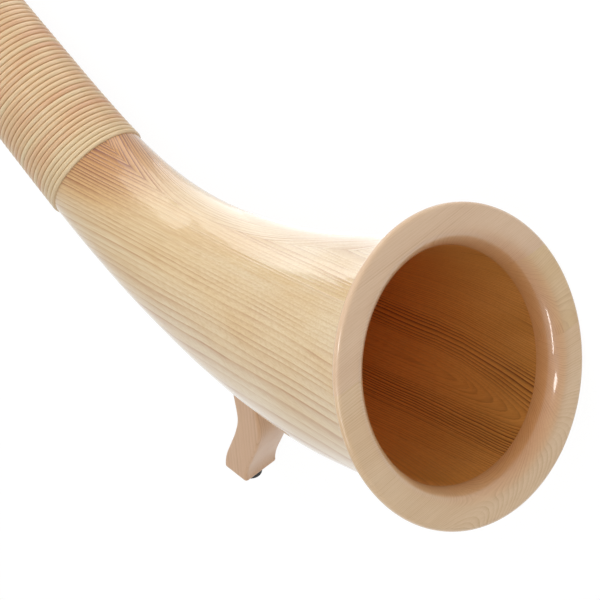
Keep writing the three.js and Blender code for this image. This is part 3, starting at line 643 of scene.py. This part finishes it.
ring = {
    "radius": 134.5, "widestDepth": 1.5, "backRadius": 122, "backDepth": 11, "bulge": 0.75,
    "faceRadius": 130, "faceHeight": 3, "rollRadius": 114, "roll": 0.5, "throatRadius": 99.5, "lip": 3,
    "lipDepth": 20, "upperGlue": 48, "lowerGlue": -30, "glue": 0.06,
    # points on the bulge, the edge, the face and the roll, and the step round the ring
    "steps": (14, 12, 6, 26), "stepDegrees": 1.5,
    # radii between which the roll turns darker and more orange towards the throat, the way round the ring where it
    # is darkest as across and inward, how far round that reaches, and the least darkening anywhere
    "rollDarkAcross": (122, 101), "rollDarkWay": (0.85, -0.5), "rollDarkReach": (-0.5, 0.9), "rollDarkLeast": 0.35,
}
wallSpacing = {"bend": 5, "bell": 16, "thin": 40}

lipSeat = ring["throatRadius"] + ring["lip"] + joint["fit"]
bellStart = ring["backDepth"] + joint["fit"]
lipEnd = ring["lipDepth"] + joint["fit"]
bellStations = (
    [(bellStart, float(woodRadius(bellStart)), lipSeat), (lipEnd, float(woodRadius(lipEnd)), lipSeat)]
    + wallStations(lipEnd + joint["stepRun"], horn["bendLength"], wallSpacing["bend"])
    + wallStations(horn["bendLength"] + wallSpacing["bell"] / 2, middleJoint - socketDepth - joint["stepRun"],
                   wallSpacing["bell"])
    + socketStations(middleJoint)
)
for label, side in (("right", -1), ("left", 1)):
    halfTube(f"bell_half_{label}", bellStations, side, "bell_section")
print("bell halves")


# A quadratic or cubic curve through its control points: the sum of binomial * (1-t)^(n-k) * t^k * point.
def curveThrough(controls, count):
    controls = np.asarray(controls, float)
    order = len(controls) - 1
    t = np.linspace(0, 1, count)[:, None]
    binomial = {2: (1, 2, 1), 3: (1, 3, 3, 1)}[order]
    return sum(binomial[k] * (1 - t) ** (order - k) * t ** k * controls[k] for k in range(order + 1))


# The ring's section as radius and depth: round the bulge from its flat back, over the face and down the
# roll.
def ringOutline():
    r = ring
    lip = r["throatRadius"] + r["lip"]
    back = (r["backRadius"], -r["backDepth"])
    bulge = (r["backRadius"] + (r["radius"] - r["backRadius"]) * r["bulge"],
             -r["widestDepth"] + (r["widestDepth"] - r["backDepth"]) * r["bulge"])
    widest = (r["radius"], -r["widestDepth"])
    arris = (r["faceRadius"], r["faceHeight"])
    roll = (r["rollRadius"], r["faceHeight"])
    rollOver = (r["rollRadius"] + (r["throatRadius"] - r["rollRadius"]) * r["roll"], r["faceHeight"])
    rollDown = (r["throatRadius"], -r["lipDepth"] + (r["lipDepth"] + r["faceHeight"]) * r["roll"])
    throat = (r["throatRadius"], -r["lipDepth"])
    onBulge, onEdge, onFace, onRoll = r["steps"]
    parts = [
        curveThrough([back, bulge, widest], onBulge)[:-1],
        curveThrough([widest, (r["radius"], r["faceHeight"]), arris], onEdge)[:-1],
        np.linspace(arris, roll, onFace)[:-1],
        curveThrough([roll, rollOver, rollDown, throat], onRoll),
        [(lip, -r["lipDepth"]), (lip, -r["backDepth"])],
    ]
    return np.concatenate([np.asarray(part, float) for part in parts])


# The turn from left towards inward at which a circle reaches a height: arcsin(height / radius), or past the
# top.
def turnAt(radius, height, onLeft):
    rise = np.arcsin(height / radius)
    return rise if onLeft else np.pi - rise


# Each board has its own heart of the tree, along it with a slight tilt, and its rings are cylinders round
# that.
ringBoards = {
    "upper": {"heart": (-60, 0, 165), "way": (0.05, 1, 0.12), "finish": "maple upper"},
    "right": {"heart": (-80, 0, 75), "way": (-0.06, 1, -0.08), "finish": "maple lower"},
    "lower": {"heart": (-30, 0, -112), "way": (-0.2, 1, 0.08), "finish": "maple lower"},
    "left": {"heart": (-50, 0, -60), "way": (-0.12, 1, 0.3), "finish": "maple"},
}


# Place in a board of maple: the distance from its heart, along it, and the height in the board.
def mapleGrain(points, heart, way, ringWidth=1.3):
    way = unit(np.array(way, float))
    offset = points - np.array(heart, float)
    lengthwise = offset @ way
    radius = np.linalg.norm(offset - lengthwise[..., None] * way, axis=-1)
    even = np.ones(points.shape[:-1])
    return {"grain": np.stack([radius, lengthwise, points[..., 2]], -1), "rings": radius / ringWidth,
            "late": even, "tone": 0 * even}


# One board's piece of the ring: the section goes round from one flat glue face to the other.
def ringPiece(name, start, finish, onLeft, fullTurn=0.0):
    outline = ringOutline()
    first = turnAt(outline[:, 0], start, onLeft[0])
    last = turnAt(outline[:, 0], finish, onLeft[1]) + fullTurn
    steps = int(np.ceil(np.degrees(np.ptp([first.mean(), last.mean()])) / ring["stepDegrees"]))
    turn = first + (last - first) * np.linspace(0, 1, steps + 1)[:, None]
    depth, radius = np.broadcast_to(outline[None, :, 1], turn.shape), outline[None, :, 0]
    points = np.stack([depth, radius * np.cos(turn), radius * np.sin(turn)], -1)
    board = ringBoards[name]
    attributes = mapleGrain(points, board["heart"], board["way"])
    # The roll turns darker and more orange towards the throat, most towards the player's left and the bend's outer
    # side
    rollDarkening = eased(outline[:, 0], *ring["rollDarkAcross"]) * (outline[:, 1] > -ring["lipDepth"] - 1)
    towards = np.cos(turn) * ring["rollDarkWay"][0] + np.sin(turn) * ring["rollDarkWay"][1]
    most = ring["rollDarkLeast"] + (1 - ring["rollDarkLeast"]) * eased(towards, *ring["rollDarkReach"])
    attributes["tone"] = rollDarkening[None, :] * most
    addPiece(f"bell_ring_maple_{name}", points, cappedTube(*turn.shape), board["finish"], "bell_section",
             f"bell_ring_{name}", attributes, sharp=50)


half = ring["glue"] / 2
ringPiece("upper", ring["upperGlue"] + half, ring["upperGlue"] + half, (True, False))
ringPiece("right", ring["upperGlue"] - half, ring["lowerGlue"] + half, (False, False))
ringPiece("lower", ring["lowerGlue"] - half, ring["lowerGlue"] - half, (False, True), 2 * np.pi)
ringPiece("left", ring["lowerGlue"] + half, ring["upperGlue"] - half, (True, True))
print("ring")

winding = {
    "start": 521.5, "startAngle": 90, "turns": 20, "pitch": 5.9, "width": 5.6, "height": 2.3, "lift": 0.05,
    "crown": 0.8, "taper": 14.0, "tip": 0.45,  # the strip's end, and its size there as a share
    "gap": 3.5, "narrowGap": 3.2,  # between the cane and a collar
    "meanRadius": 55,  # gives the length of cane before a stretch, nearly enough for its colours
}


# Cane wound in a helix: along = start + pitch * turns, at the wood's radius. Its section is half round,
# flat on the wood: across = width/2 * cos t, height = height * sin(t)^crown, and both draw in over the last
# stretch at an end.
def wound(name, firstTurn, lastTurn, body, node, steps=32, sectionPoints=8, ends=(True, True)):
    turns = np.linspace(firstTurn, lastTurn, int(round((lastTurn - firstTurn) * steps)) + 1)
    along = winding["start"] + winding["pitch"] * turns
    radius = woodRadius(along)
    way = np.concatenate([[0], np.cumsum(np.diff(turns) * 2 * np.pi * (radius[1:] + radius[:-1]) / 2)])
    fromEnd = np.minimum(way if ends[0] else np.inf, way[-1] - way if ends[1] else np.inf)
    draw = np.clip(fromEnd / winding["taper"], 0, 1)
    draw = (winding["tip"] + (1 - winding["tip"]) * np.sqrt(1 - (1 - draw) ** 2))[:, None]
    t = np.linspace(np.pi, 0, sectionPoints)
    strip = winding["width"] / 2 * np.cos(t)[None, :] * draw
    crown = np.clip(np.sin(t), 0, 1)[None, :] ** winding["crown"]
    rise = winding["lift"] + winding["height"] * crown * draw
    angle = np.radians(winding["startAngle"]) + 2 * np.pi * turns
    points = roundHorn(along[:, None] + strip, angle[:, None] + 0 * strip, radius[:, None] + rise)
    wholeWay = way + 2 * np.pi * firstTurn * winding["meanRadius"]
    labels = np.stack([strip, wholeWay[:, None] + 0 * strip, turns[:, None] + 0 * strip], -1)
    addPiece(name, points, cappedTube(*strip.shape), "cane", body, node, {"strip": labels}, sharp=60)


# The turns of cane from the start of the wrap to a place along the horn.
def turnsTo(along):
    return (along - winding["start"]) / winding["pitch"]


collar = joint["collarLength"]
wound("bell_cane_winding", 0, winding["turns"], "bell_section", "bell_rattan_winding", steps=96,
      sectionPoints=13, ends=(True, False))
wound("bell_cane_winding_on", winding["turns"], turnsTo(middleJoint - collar - winding["gap"]),
      "bell_section", "bell_wrap_sleeve", steps=48, sectionPoints=9, ends=(False, True))
print("cane on the bell section")

foot = {
    "station": 300, "tilt": 30.5, "height": 175, "width": 45, "thickness": 35, "round": 3.2, "setBack": 16,
    # share of the height, and the sway of the middle as a share of the thickness
    "sway": [(0, 0), (0.06, 0.01), (0.15, 0.12), (0.28, 0.38), (0.42, 0.65), (0.56, 0.82), (0.72, 0.76),
             (0.86, 0.68), (1.15, 0.66)],
    "swayShift": 3, "topBetween": (60.0, 230.0), "clear": 0.05, "bottomEdge": 1.5,
    "ringsOver": (0.9, 0.45), "ringWidth": 2.2, "late": 0.8,  # its grain, counted over across and forward
    "woodNear": (150, 460, 621),  # where the horn is tried for the foot's top: from, to, and how many places
}


# The foot's own seat: its base under a place on the bend, forward, upright in play, and across to the
# right.
def footSeat():
    tilt = np.radians(foot["tilt"])
    up = np.array([np.sin(tilt), 0, np.cos(tilt)])
    forward = np.array([np.cos(tilt), 0, -np.sin(tilt)])
    point, _, inward = place(foot["station"])
    base = point - inward * woodRadius(foot["station"]) - up * foot["height"] - forward * foot["setBack"]
    return base, forward, up, np.cross(forward, up)


# A smooth curve through rows of points. Each stretch from b to c, between a and d, is
# (2b + (c-a) t + (2a-5b+4c-d) t^2 + (3b-a-3c+d) t^3) / 2.
def smoothThrough(rows, count):
    rows = np.asarray(rows, float)
    last = len(rows) - 1
    way = np.linspace(0, last, count)
    left = np.minimum(way.astype(int), last - 1)
    t = (way - left)[:, None]
    a, b, c, d = (rows[np.clip(left + shift, 0, last)] for shift in (-1, 0, 1, 2))
    squared, cubed = (2 * a - 5 * b + 4 * c - d) * t ** 2, (3 * b - a - 3 * c + d) * t ** 3
    return (2 * b + (c - a) * t + squared + cubed) / 2


# How far a point is from the wood: the least of its distances to the centre line less the wood's radius
# there.
def offWood(points):
    along = np.linspace(*foot["woodNear"])
    away = np.linalg.norm(points[..., None, :] - place(along)[0], axis=-1) - woodRadius(along)
    return away.min(-1)


# A rectangle with round corners: a quarter circle at each corner, and points along the side to the next
# one.
def footLoop():
    halfX, halfZ, r = foot["thickness"] / 2, foot["width"] / 2, foot["round"]
    corner = np.linspace(0, np.pi / 2, 7)
    sideRun = np.linspace(0, 1, 8)[1:-1]
    starts = [(halfX, halfZ - r), (-(halfX - r), halfZ), (-halfX, -(halfZ - r)), (halfX - r, -halfZ)]
    loop = []
    for turn, (sx, sz) in enumerate([(1, 1), (-1, 1), (-1, -1), (1, -1)]):
        angle = corner + turn * np.pi / 2
        arc = np.stack([sx * (halfX - r) + r * np.cos(angle), sz * (halfZ - r) + r * np.sin(angle)], -1)
        following = np.array(starts[(turn + 1) % 4])
        loop += [arc, arc[-1] + (following - arc[-1]) * sideRun[:, None]]
    return np.concatenate(loop)


# The foot: its loop carried up along the sway, from its base to where it meets the wood. The top of each
# side is found by halving the range of heights that it can have, and the bottom edge is a quarter circle.
def footBlock():
    base, forward, up, across = footSeat()
    curve = smoothThrough(foot["sway"], 200) * (foot["height"], foot["thickness"])
    loop, edge = footLoop(), foot["bottomEdge"]

    # A point of an outline at a height: base + (sway + x) * forward + height * up + z * across.
    def at(height, outline):
        sway = np.interp(height + foot["swayShift"], curve[:, 0], curve[:, 1])
        return (base + (sway + outline[..., 0])[..., None] * forward + np.asarray(height)[..., None] * up
                + outline[..., 1, None] * across)

    low, high = [np.full(len(loop), height) for height in foot["topBetween"]]
    for _ in range(24):  # halvings, down to a hundred-thousandth of a millimetre
        middle = (low + high) / 2
        clear = offWood(at(middle, loop)) > foot["clear"]
        low, high = np.where(clear, middle, low), np.where(clear, high, middle)
    share = np.linspace(0, 1, 64)[:, None]
    body = at(edge + (low - edge) * share, np.broadcast_to(loop, (64, *loop.shape)))
    quarter = np.linspace(0.05, 0.5, 5)[:, None] * np.pi
    shrink = (1 - edge * (1 - np.sin(quarter)) / (foot["thickness"] / 2))[..., None]
    rounded = at(edge * (1 - np.cos(quarter)) + 0 * low, loop * shrink)[:-1]
    points = np.concatenate([rounded, body])
    rows, columns = points.shape[:2]
    bottom, top = points[0].mean(0), at(np.array(low.mean()), np.zeros(2))
    points = np.concatenate([points.reshape(-1, 3), [bottom, top]])
    column = np.arange(columns)
    following = (column + 1) % columns
    lastRow, centre = (rows - 1) * columns, np.full(columns, rows * columns)
    bottomFan = np.stack([centre, following, column], -1)
    topFan = np.stack([centre + 1, lastRow + column, lastRow + following], -1)
    local = points - base
    over = local @ across * foot["ringsOver"][0] + local @ forward * foot["ringsOver"][1]
    even = np.ones(len(points))
    attributes = {"grain": np.stack([over, local @ up, local @ forward], -1),
                  "rings": over / foot["ringWidth"], "late": foot["late"] * even, "tone": 0 * even}
    addPiece("foot_maple", points, [gridQuads(rows, columns), bottomFan, topFan], "maple foot",
             "bell_section", "foot_block", attributes, sharp=50)


footBlock()

# A turned piece's board: where its heart lies from the piece's middle, and its way
turnedBoard = {"heart": (40, 0, 65), "way": (0.08, 1, 0.05)}


# A turned piece on its seat; one of maple has the grain of its board.
def turnedPiece(name, node, outline, seat, finish, body, count=96):
    points, faces = turned(outline, seat, count)
    if finish == "maple":
        heart = points.reshape(-1, 3).mean(0) - turnedBoard["heart"]
        grain = mapleGrain(points, heart, turnedBoard["way"])
        addPiece(name, points, faces, finish, body, node, grain, sharp=50)
    else:
        addPiece(name, points, faces, finish, body, node)


glide = {"radius": 12, "height": 14, "recess": 7, "recessRadius": 4.8, "hole": 2.3, "gap": 0.05}
screw = {
    "head": 4.5, "headHeight": 2.5, "sunk": 0.3, "shank": 2, "length": 24, "point": 2,
    # the cross: the flat of the head round it, half its arm's width, its reach, the slopes at both, its
    # depth
    "flat": 3.0, "half": 0.55, "reach": 2.6, "slopes": (0.25, 0.5), "depth": 1.3,
    "axis": 0.001,  # as near to the axis as an outline goes
}
glideFloor, recessFloor = -glide["height"], glide["recess"] - glide["height"]
turnedPiece("foot_rubber_glide", "foot_glide", roundedOutline(
    [(glide["hole"], -glide["gap"]), (glide["hole"], recessFloor), (glide["recessRadius"], recessFloor),
     (glide["recessRadius"], glideFloor), (glide["radius"], glideFloor), (glide["radius"], -glide["gap"])],
    [0.1, 0.2, 0.3, 0.6, 2.2, 0.3]), footSeat(), "rubber", "bell_section")


# The screw in the glide: its head turned, with a cross pressed into it as deep as the nearer arm allows.
def glideScrew():
    s = screw
    head = recessFloor - s["sunk"]
    face, tip = head - s["headHeight"], head + s["length"]
    outline = roundedOutline(
        [(s["axis"], face), (s["head"], face), (s["head"], head), (s["shank"], head), (s["shank"], tip),
         (s["axis"], tip + s["point"])], [s["axis"] / 2, 1.4, 0.2, 0.2, 0.4, s["axis"] / 2], steps=5)
    inner = np.stack([np.linspace(s["flat"], s["axis"], 14), np.full(14, face)], -1)
    seat = footSeat()
    points, faces = turned(np.concatenate([outline[5:], inner[::-1]]), seat, count=64)
    base, side, up, other = seat
    local = points - base
    toArm = np.minimum(np.abs(local @ side), np.abs(local @ other))
    height, away = local @ up, np.hypot(local @ side, local @ other)
    onFace = (height < face + 0.2) & (away < s["flat"] + 0.05)
    beside = np.clip((s["half"] - toArm) / s["slopes"][0], 0, 1)
    along = np.clip((s["reach"] - away) / s["slopes"][1], 0, 1)
    points = points + (onFace * (beside * along) * s["depth"])[..., None] * up
    addPiece("foot_steel_screw", points, faces, "steel", "bell_section", "foot_glide_screw", sharp=40)


glideScrew()
print("foot")

# Joints


# How far out a collar stands round wood of a radius, clear of the cane beside it.
def collarTop(radius):
    return radius + joint["caneRoom"] + joint["collarProud"] + joint["gap"]


# A wooden collar, turned round the horn with its shoulders rounded over; it starts at a height from the
# joint.
def collarPiece(node, at, start, seatRadius, body):
    rounds = [0.5, joint["collarRound"] * 1.6, joint["collarRound"] * 1.6, 0.5]
    section = tubeSection(seatRadius + joint["fit"], collarTop(float(woodRadius(at))), start, start + collar)
    turnedPiece(node.replace("_collar", "_maple_collar"), node, roundedOutline(section, rounds, steps=12),
                seatAt(at), "maple", body, count=128)


# The tenon's section, out from its bore, with a groove for each seal.
def tenonOutline(sizes, sealHeights):
    halfGroove = joint["grooveWidth"] / 2
    grooves = [(sizes[label], height + shift * halfGroove) for height in reversed(sealHeights)
               for label, shift in (("tenon", -1), ("groove", -1), ("groove", 1), ("tenon", 1))]
    length, seated = -joint["tenonLength"], joint["tenonSeat"]
    corners = [(sizes["bore"], length), (sizes["tenon"], length), *grooves, (sizes["tenon"], seated),
               (sizes["bore"], seated)]
    return roundedOutline(corners, [0.4, 1.0] + [0.25] * 8 + [0.4, 0.4], steps=4)


# The pieces at a joint: the collar and sleeve that end the section before it, and the collar, sleeve and
# seals of the one after it. A seal is an O-ring: a circle carried round the tenon in its groove.
def jointPieces(before, after, at):
    sizes, seat = jointSizes(at), seatAt(at)
    socketBody, tenonBody = f"{before}_section", f"{after}_section"
    collarPiece(f"{before}_socket_collar", at, -collar, float(woodRadius(at - collar)), socketBody)
    socket = tubeSection(sizes["socketBore"], sizes["socket"], joint["gap"] - socketDepth, 0)
    turnedPiece(f"{before}_socket_aluminium_sleeve", f"{before}_socket_sleeve",
                roundedOutline(socket, 0.4, steps=4), seat, "aluminium", socketBody)
    collarPiece(f"{after}_tenon_collar", at, joint["gap"], float(woodRadius(at)), tenonBody)
    sealHeights = [-share * joint["tenonLength"] for share in joint["seals"]]
    turnedPiece(f"{after}_tenon_aluminium_sleeve", f"{after}_tenon_sleeve", tenonOutline(sizes, sealHeights),
                seat, "aluminium", tenonBody)
    middle = (sizes["groove"] + sizes["socketBore"]) / 2
    thick = (sizes["socketBore"] - sizes["groove"]) / 2 - joint["sealPlay"]
    angle = np.linspace(0, 2 * np.pi, 20, endpoint=False)
    for rank, height in zip(("upper", "lower"), sealHeights):
        outline = np.stack([middle + thick * np.cos(angle), height + thick * np.sin(angle)], -1)
        turnedPiece(f"{after}_rubber_seal_{rank}", f"{after}_seal_{rank}", outline, seat, "rubber",
                    f"{after}_seals")


jointPieces("bell", "middle", middleJoint)
jointPieces("middle", "hand", handJoint)

mouth = {
    "collarLength": 34, "collarLip": 6, "collarRound": 6,
    "bushRadius": 11.5, "bushBore": 7.7, "bushDepth": 38,
}
bushSeat = hornEnd - mouth["bushDepth"]
bushHole = mouth["bushRadius"] + joint["fit"]


# Plain wall between what is bored out after one joint and what is bored out at a later place.
def thinWall(jointAt, finish):
    return wallStations(jointAt + joint["tenonSeat"] + joint["stepRun"], finish - joint["stepRun"],
                        wallSpacing["thin"])


middleStations = (tenonStations(middleJoint) + thinWall(middleJoint, handJoint - socketDepth)
                  + socketStations(handJoint))
handStations = (tenonStations(handJoint) + thinWall(handJoint, bushSeat)
                + [(bushSeat, float(woodRadius(bushSeat)), bushHole), (hornEnd, horn["mouthEnd"], bushHole)])
for label, side in (("right", -1), ("left", 1)):
    halfTube(f"middle_half_{label}", middleStations, side, "middle_section", arcPoints=41)
    halfTube(f"hand_half_{label}", handStations, side, "hand_section", arcPoints=41)
for name, start, finish in (("middle", middleJoint, handJoint - collar),
                            ("hand", handJoint, hornEnd - mouth["collarLength"])):
    wound(f"{name}_cane_winding", turnsTo(start + collar + winding["gap"]),
          turnsTo(finish - winding["narrowGap"]), f"{name}_section", f"{name}_wrap_sleeve")
print("middle and hand sections")


# The end collar closes over the wood up to the bush, a tube that stands in the wood and ends with the
# collar.
def mouthEnd():
    top = collarTop(horn["mouthEnd"])
    inside = float(woodRadius(hornEnd - mouth["collarLength"])) + joint["fit"]
    start, lip, bush, past = -mouth["collarLength"], mouth["collarLip"], mouth["bushRadius"], 0.1
    outline = roundedOutline([(inside, start), (top, start), (top, lip), (bush + joint["fit"], lip),
                              (bush + joint["fit"], past), (inside, past)],
                             [0.5, mouth["collarRound"], mouth["collarRound"], 0.5, 0.1, 0.1], steps=12)
    turnedPiece("mouth_maple_collar", "mouth_collar", outline, seatAt(hornEnd), "maple", "hand_section")
    section = tubeSection(mouth["bushBore"], bush, joint["gap"] - mouth["bushDepth"], lip)
    turnedPiece("mouth_aluminium_bush", "mouth_bush", roundedOutline(section, [0.4, 0.4, 0.5, 1.2], steps=5),
                seatAt(hornEnd), "aluminium", "hand_section")


mouthEnd()

mouthpiece = {
    "length": 82, "depth": 28, "rim": 14,
    "corkStart": 10, "corkLength": 14, "corkSeat": 1.8, "corkRound": 0.2, "corkPlay": 0.02,
    # share of the length, share of the rim's radius, and how far the corner is rounded over
    "outside": [(0, 0.46, 0.4), (0.34, 0.5, 2.0), (0.36, 0.6, 0.6), (0.4, 0.6, 0.8), (0.43, 0.5, 3.0),
                (0.6, 0.54, 6.0), (0.72, 0.72, 6.0), (0.84, 0.9, 4.0), (0.92, 0.93, 1.2), (0.95, 1, 1.2),
                (0.985, 1, 1.0), (1, 0.95, 0.8)],
    "inside": [(1, 0.76, 1.2), (0.98, 0.68, 1.4), (0.94, 0.62, 3.0), (0.84, 0.52, 4.0), (0.76, 0.34, 4.0),
               (0.7, 0.25, 3.0), (0, 0.32, 0.4)],
}


# The mouthpiece: both tables as radius and length, with the cork's seat let into the shank, turned round
# its axis. The cork is a tube from that seat out to the bush.
def mouthpiecePieces():
    m = mouthpiece
    outside, inside = [np.array(m[label])[:, [1, 0, 2]] * (m["rim"], m["length"], 1)
                       for label in ("outside", "inside")]
    shank, corkInside = outside[0, 0], outside[0, 0] - m["corkSeat"]
    corkEnd, seat = m["corkStart"] + m["corkLength"], seatAt(hornEnd + mouth["collarLip"] - m["depth"])
    low, high = m["corkStart"] - joint["fit"], corkEnd + joint["fit"]
    seatCorners = [(radius, height, m["corkRound"]) for radius, height in
                   ((shank, low), (corkInside, low), (corkInside, high), (shank, high))]
    corners = np.concatenate([outside[:1], seatCorners, outside[1:], inside])
    outline = roundedOutline(corners[:, :2], corners[:, 2], steps=7)
    turnedPiece("mouthpiece_maple", "mouthpiece", outline, seat, "maple", "mouthpiece")
    inner, outer = corkInside + m["corkPlay"], mouth["bushBore"] - m["corkPlay"]
    section = tubeSection(inner, outer, m["corkStart"], corkEnd)
    outline = roundedOutline(section, [0.1, 0.6, 0.6, 0.1], steps=5)
    turnedPiece("mouthpiece_cork_wrap", "mouthpiece_cork", outline, seat, "cork", "cork_wrap", count=64)


mouthpiecePieces()
print("mouth end and mouthpiece")

# Studio

# The photograph was taken from here, on the horn's axes in millimetres, with a long lens
view = {
    "from": (850.22, -639.95, 435.94), "right": (0.5792, 0.7176, -0.3868), "down": (0.0184, -0.4859, -0.8738),
    "focal": 84, "sensor": 36, "clip": (0.02, 60),
}


# A frame of three axes at right angles, nearest to the given right and down: forward is across both.
def viewAxes():
    right = unit(np.array(view["right"]))
    down = squareTo(right, np.array(view["down"]))
    return right @ axes, down @ axes, np.cross(right, down) @ axes


# A place and turn in the world: the matrix's columns are right, up, and back towards the eye, and the
# position.
def placed(position, right, up, back):
    matrix = Matrix.Identity(4)
    for column, way in enumerate((right, up, back, position)):
        for row in range(3):
            matrix[row][column] = float(way[row])
    return matrix


right, down, forward = viewAxes()
cameraData = bpy.data.cameras.new("camera")
cameraData.lens, cameraData.sensor_width = view["focal"], view["sensor"]
cameraData.clip_start, cameraData.clip_end = view["clip"]
camera = bpy.data.objects.new("camera", cameraData)
camera.matrix_world = placed(toWorld(np.array(view["from"])), right, -down, -forward)
bpy.context.scene.collection.objects.link(camera)
bpy.context.scene.camera = camera

# Soft boxes on the horn's axes in millimetres: what each does, where it stands, what it faces, its size in
# metres, its watts, and the way of its first side. What lights falls on the wood, and what shows is seen
# only in the varnish. A floor panel shows too, but lies just over the floor at its place and shines up.
alongBell, alongHorn, alongBend, alongRing = (1, 0, 0), (-0.505, 0, 0.863), (-0.712, 0, 0.702), (0, 0, 1)
softBoxes = {
    "inner side": ("lights", (-200, -420, 1900), (-220, 0, 60), (1.6, 1.6), 13.3, alongBell),
    "far side": ("lights", (-1050, -1300, 2900), (-1500, 40, 2350), (2.2, 1.2), 12, alongHorn),
    "outer side": ("lights", (-1500, -300, -2500), (-700, 0, 600), (3.0, 1.2), 22, alongHorn),
    "window": ("shows", (-375, 38, 430), (-360, -10, 190), (0.1, 0.18), 0.11, alongBell),
    "window by the mouth": ("shows", (-75, 60, 430), (-8, 26, -98), (0.06, 0.12), 0.068, alongBell),
    "overhead": ("lights", (714, -1732, -24), (-4, 100, -28), (1.3, 1.3), 7, alongRing),
    "overhead strip": ("shows", (690, -1670, -24), (-4, 100, -28), (1.1, 0.16), 7, alongRing),
    "front": ("lights", (1180, -1140, 1000), (0, 90, -60), (1.1, 1.1), 6, alongRing),
    "front window": ("shows", (1130, -1090, 960), (0, 90, -60), (0.34, 0.4), 6, alongRing),
    "low panel": ("floor panel", (-230, 88, 117), (-230, 0, 117), (0.18, 0.13), 0.036, alongBend),
    "low panel near": ("floor panel", (-332, 88, 218), (-332, 0, 218), (0.108, 0.13), 0.036, alongBend),
    "low strip": ("floor panel", (-459, 88, 381), (-459, 0, 381), (0.302, 0.075), 0.1, alongBend),
}
room = {
    "light": "#FFFFFF", "strength": 0.45, "floor": "#F4F3F1", "floorShade": 0.08, "floorWhite": 1.04,
    "reach": 14.0, "panelLift": 0.006,  # metres: half of the floor's side, and a floor panel's height over it
}
lowest = min(0.0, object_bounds()[0][2])  # the true round of the ring lies a hair under the frame's flat sides
for name, (does, position, target, size, power, long) in softBoxes.items():
    position, target = toWorld(np.array(position, float)), toWorld(np.array(target, float))
    back = unit(position - target)
    if does == "floor panel":
        position[2], back = lowest + room["panelLift"], np.array([0.0, 0.0, -1.0])
    across = squareTo(back, np.array(long) @ axes)
    lampData = bpy.data.lights.new(name, "AREA")
    lampData.shape, lampData.size, lampData.size_y = "RECTANGLE", *size
    lampData.energy = power
    lamp = bpy.data.objects.new(name, lampData)
    lamp.matrix_world = placed(position, across, np.cross(back, across), back)
    lamp.visible_camera = False
    lamp.visible_diffuse, lamp.visible_glossy = does == "lights", does != "lights"
    bpy.context.scene.collection.objects.link(lamp)


# Whether a ray shows the background itself: one for the camera's rays, reflections and rays through glass.
def seenItself(add):
    rays = add("LightPath", {}).outputs
    seen = rays["Is Camera Ray"]
    for kind in ("Is Glossy Ray", "Is Transmission Ray"):
        seen = add("Math", {0: seen, 1: rays[kind]}, operation="MAXIMUM")
    return seen


# The room: white where it is seen itself, and a plain pale light elsewhere
world = bpy.data.worlds.new("studio")
bpy.context.scene.world = world
add = emptied(world)
strength = add("MapRange", {0: seenItself(add), 3: room["strength"], 4: 1.0})
light = add("Background", {"Color": linear(room["light"]), "Strength": strength})
add("OutputWorld", {"Surface": light})


# The floor: pale, and mostly white where it is seen itself, so that it keeps only a soft shadow of the
# horn.
def floorFinish():
    material = bpy.data.materials.new("floor paper matt")
    add = emptied(material)
    share = add("Math", {0: seenItself(add), 1: 1 - room["floorShade"]}, operation="MULTIPLY")
    matt = add("BsdfDiffuse", {"Color": linear(room["floor"])})
    white = add("Emission", {"Strength": room["floorWhite"]})
    add("OutputMaterial", {"Surface": add("MixShader", {0: share, 1: matt, 2: white})})
    return material


reach = room["reach"]
floorMesh = bpy.data.meshes.new("floor")
floorMesh.from_pydata([(x * reach, y * reach, lowest) for x, y in ((-1, -1), (1, -1), (1, 1), (-1, 1))],
                      [], [(0, 1, 2, 3)])
floorMesh.materials.append(floorFinish())
floor = bpy.data.objects.new("floor", floorMesh)
bpy.context.scene.collection.objects.link(floor)

bpy.context.scene.view_settings.view_transform = "Standard"
print("studio ready")
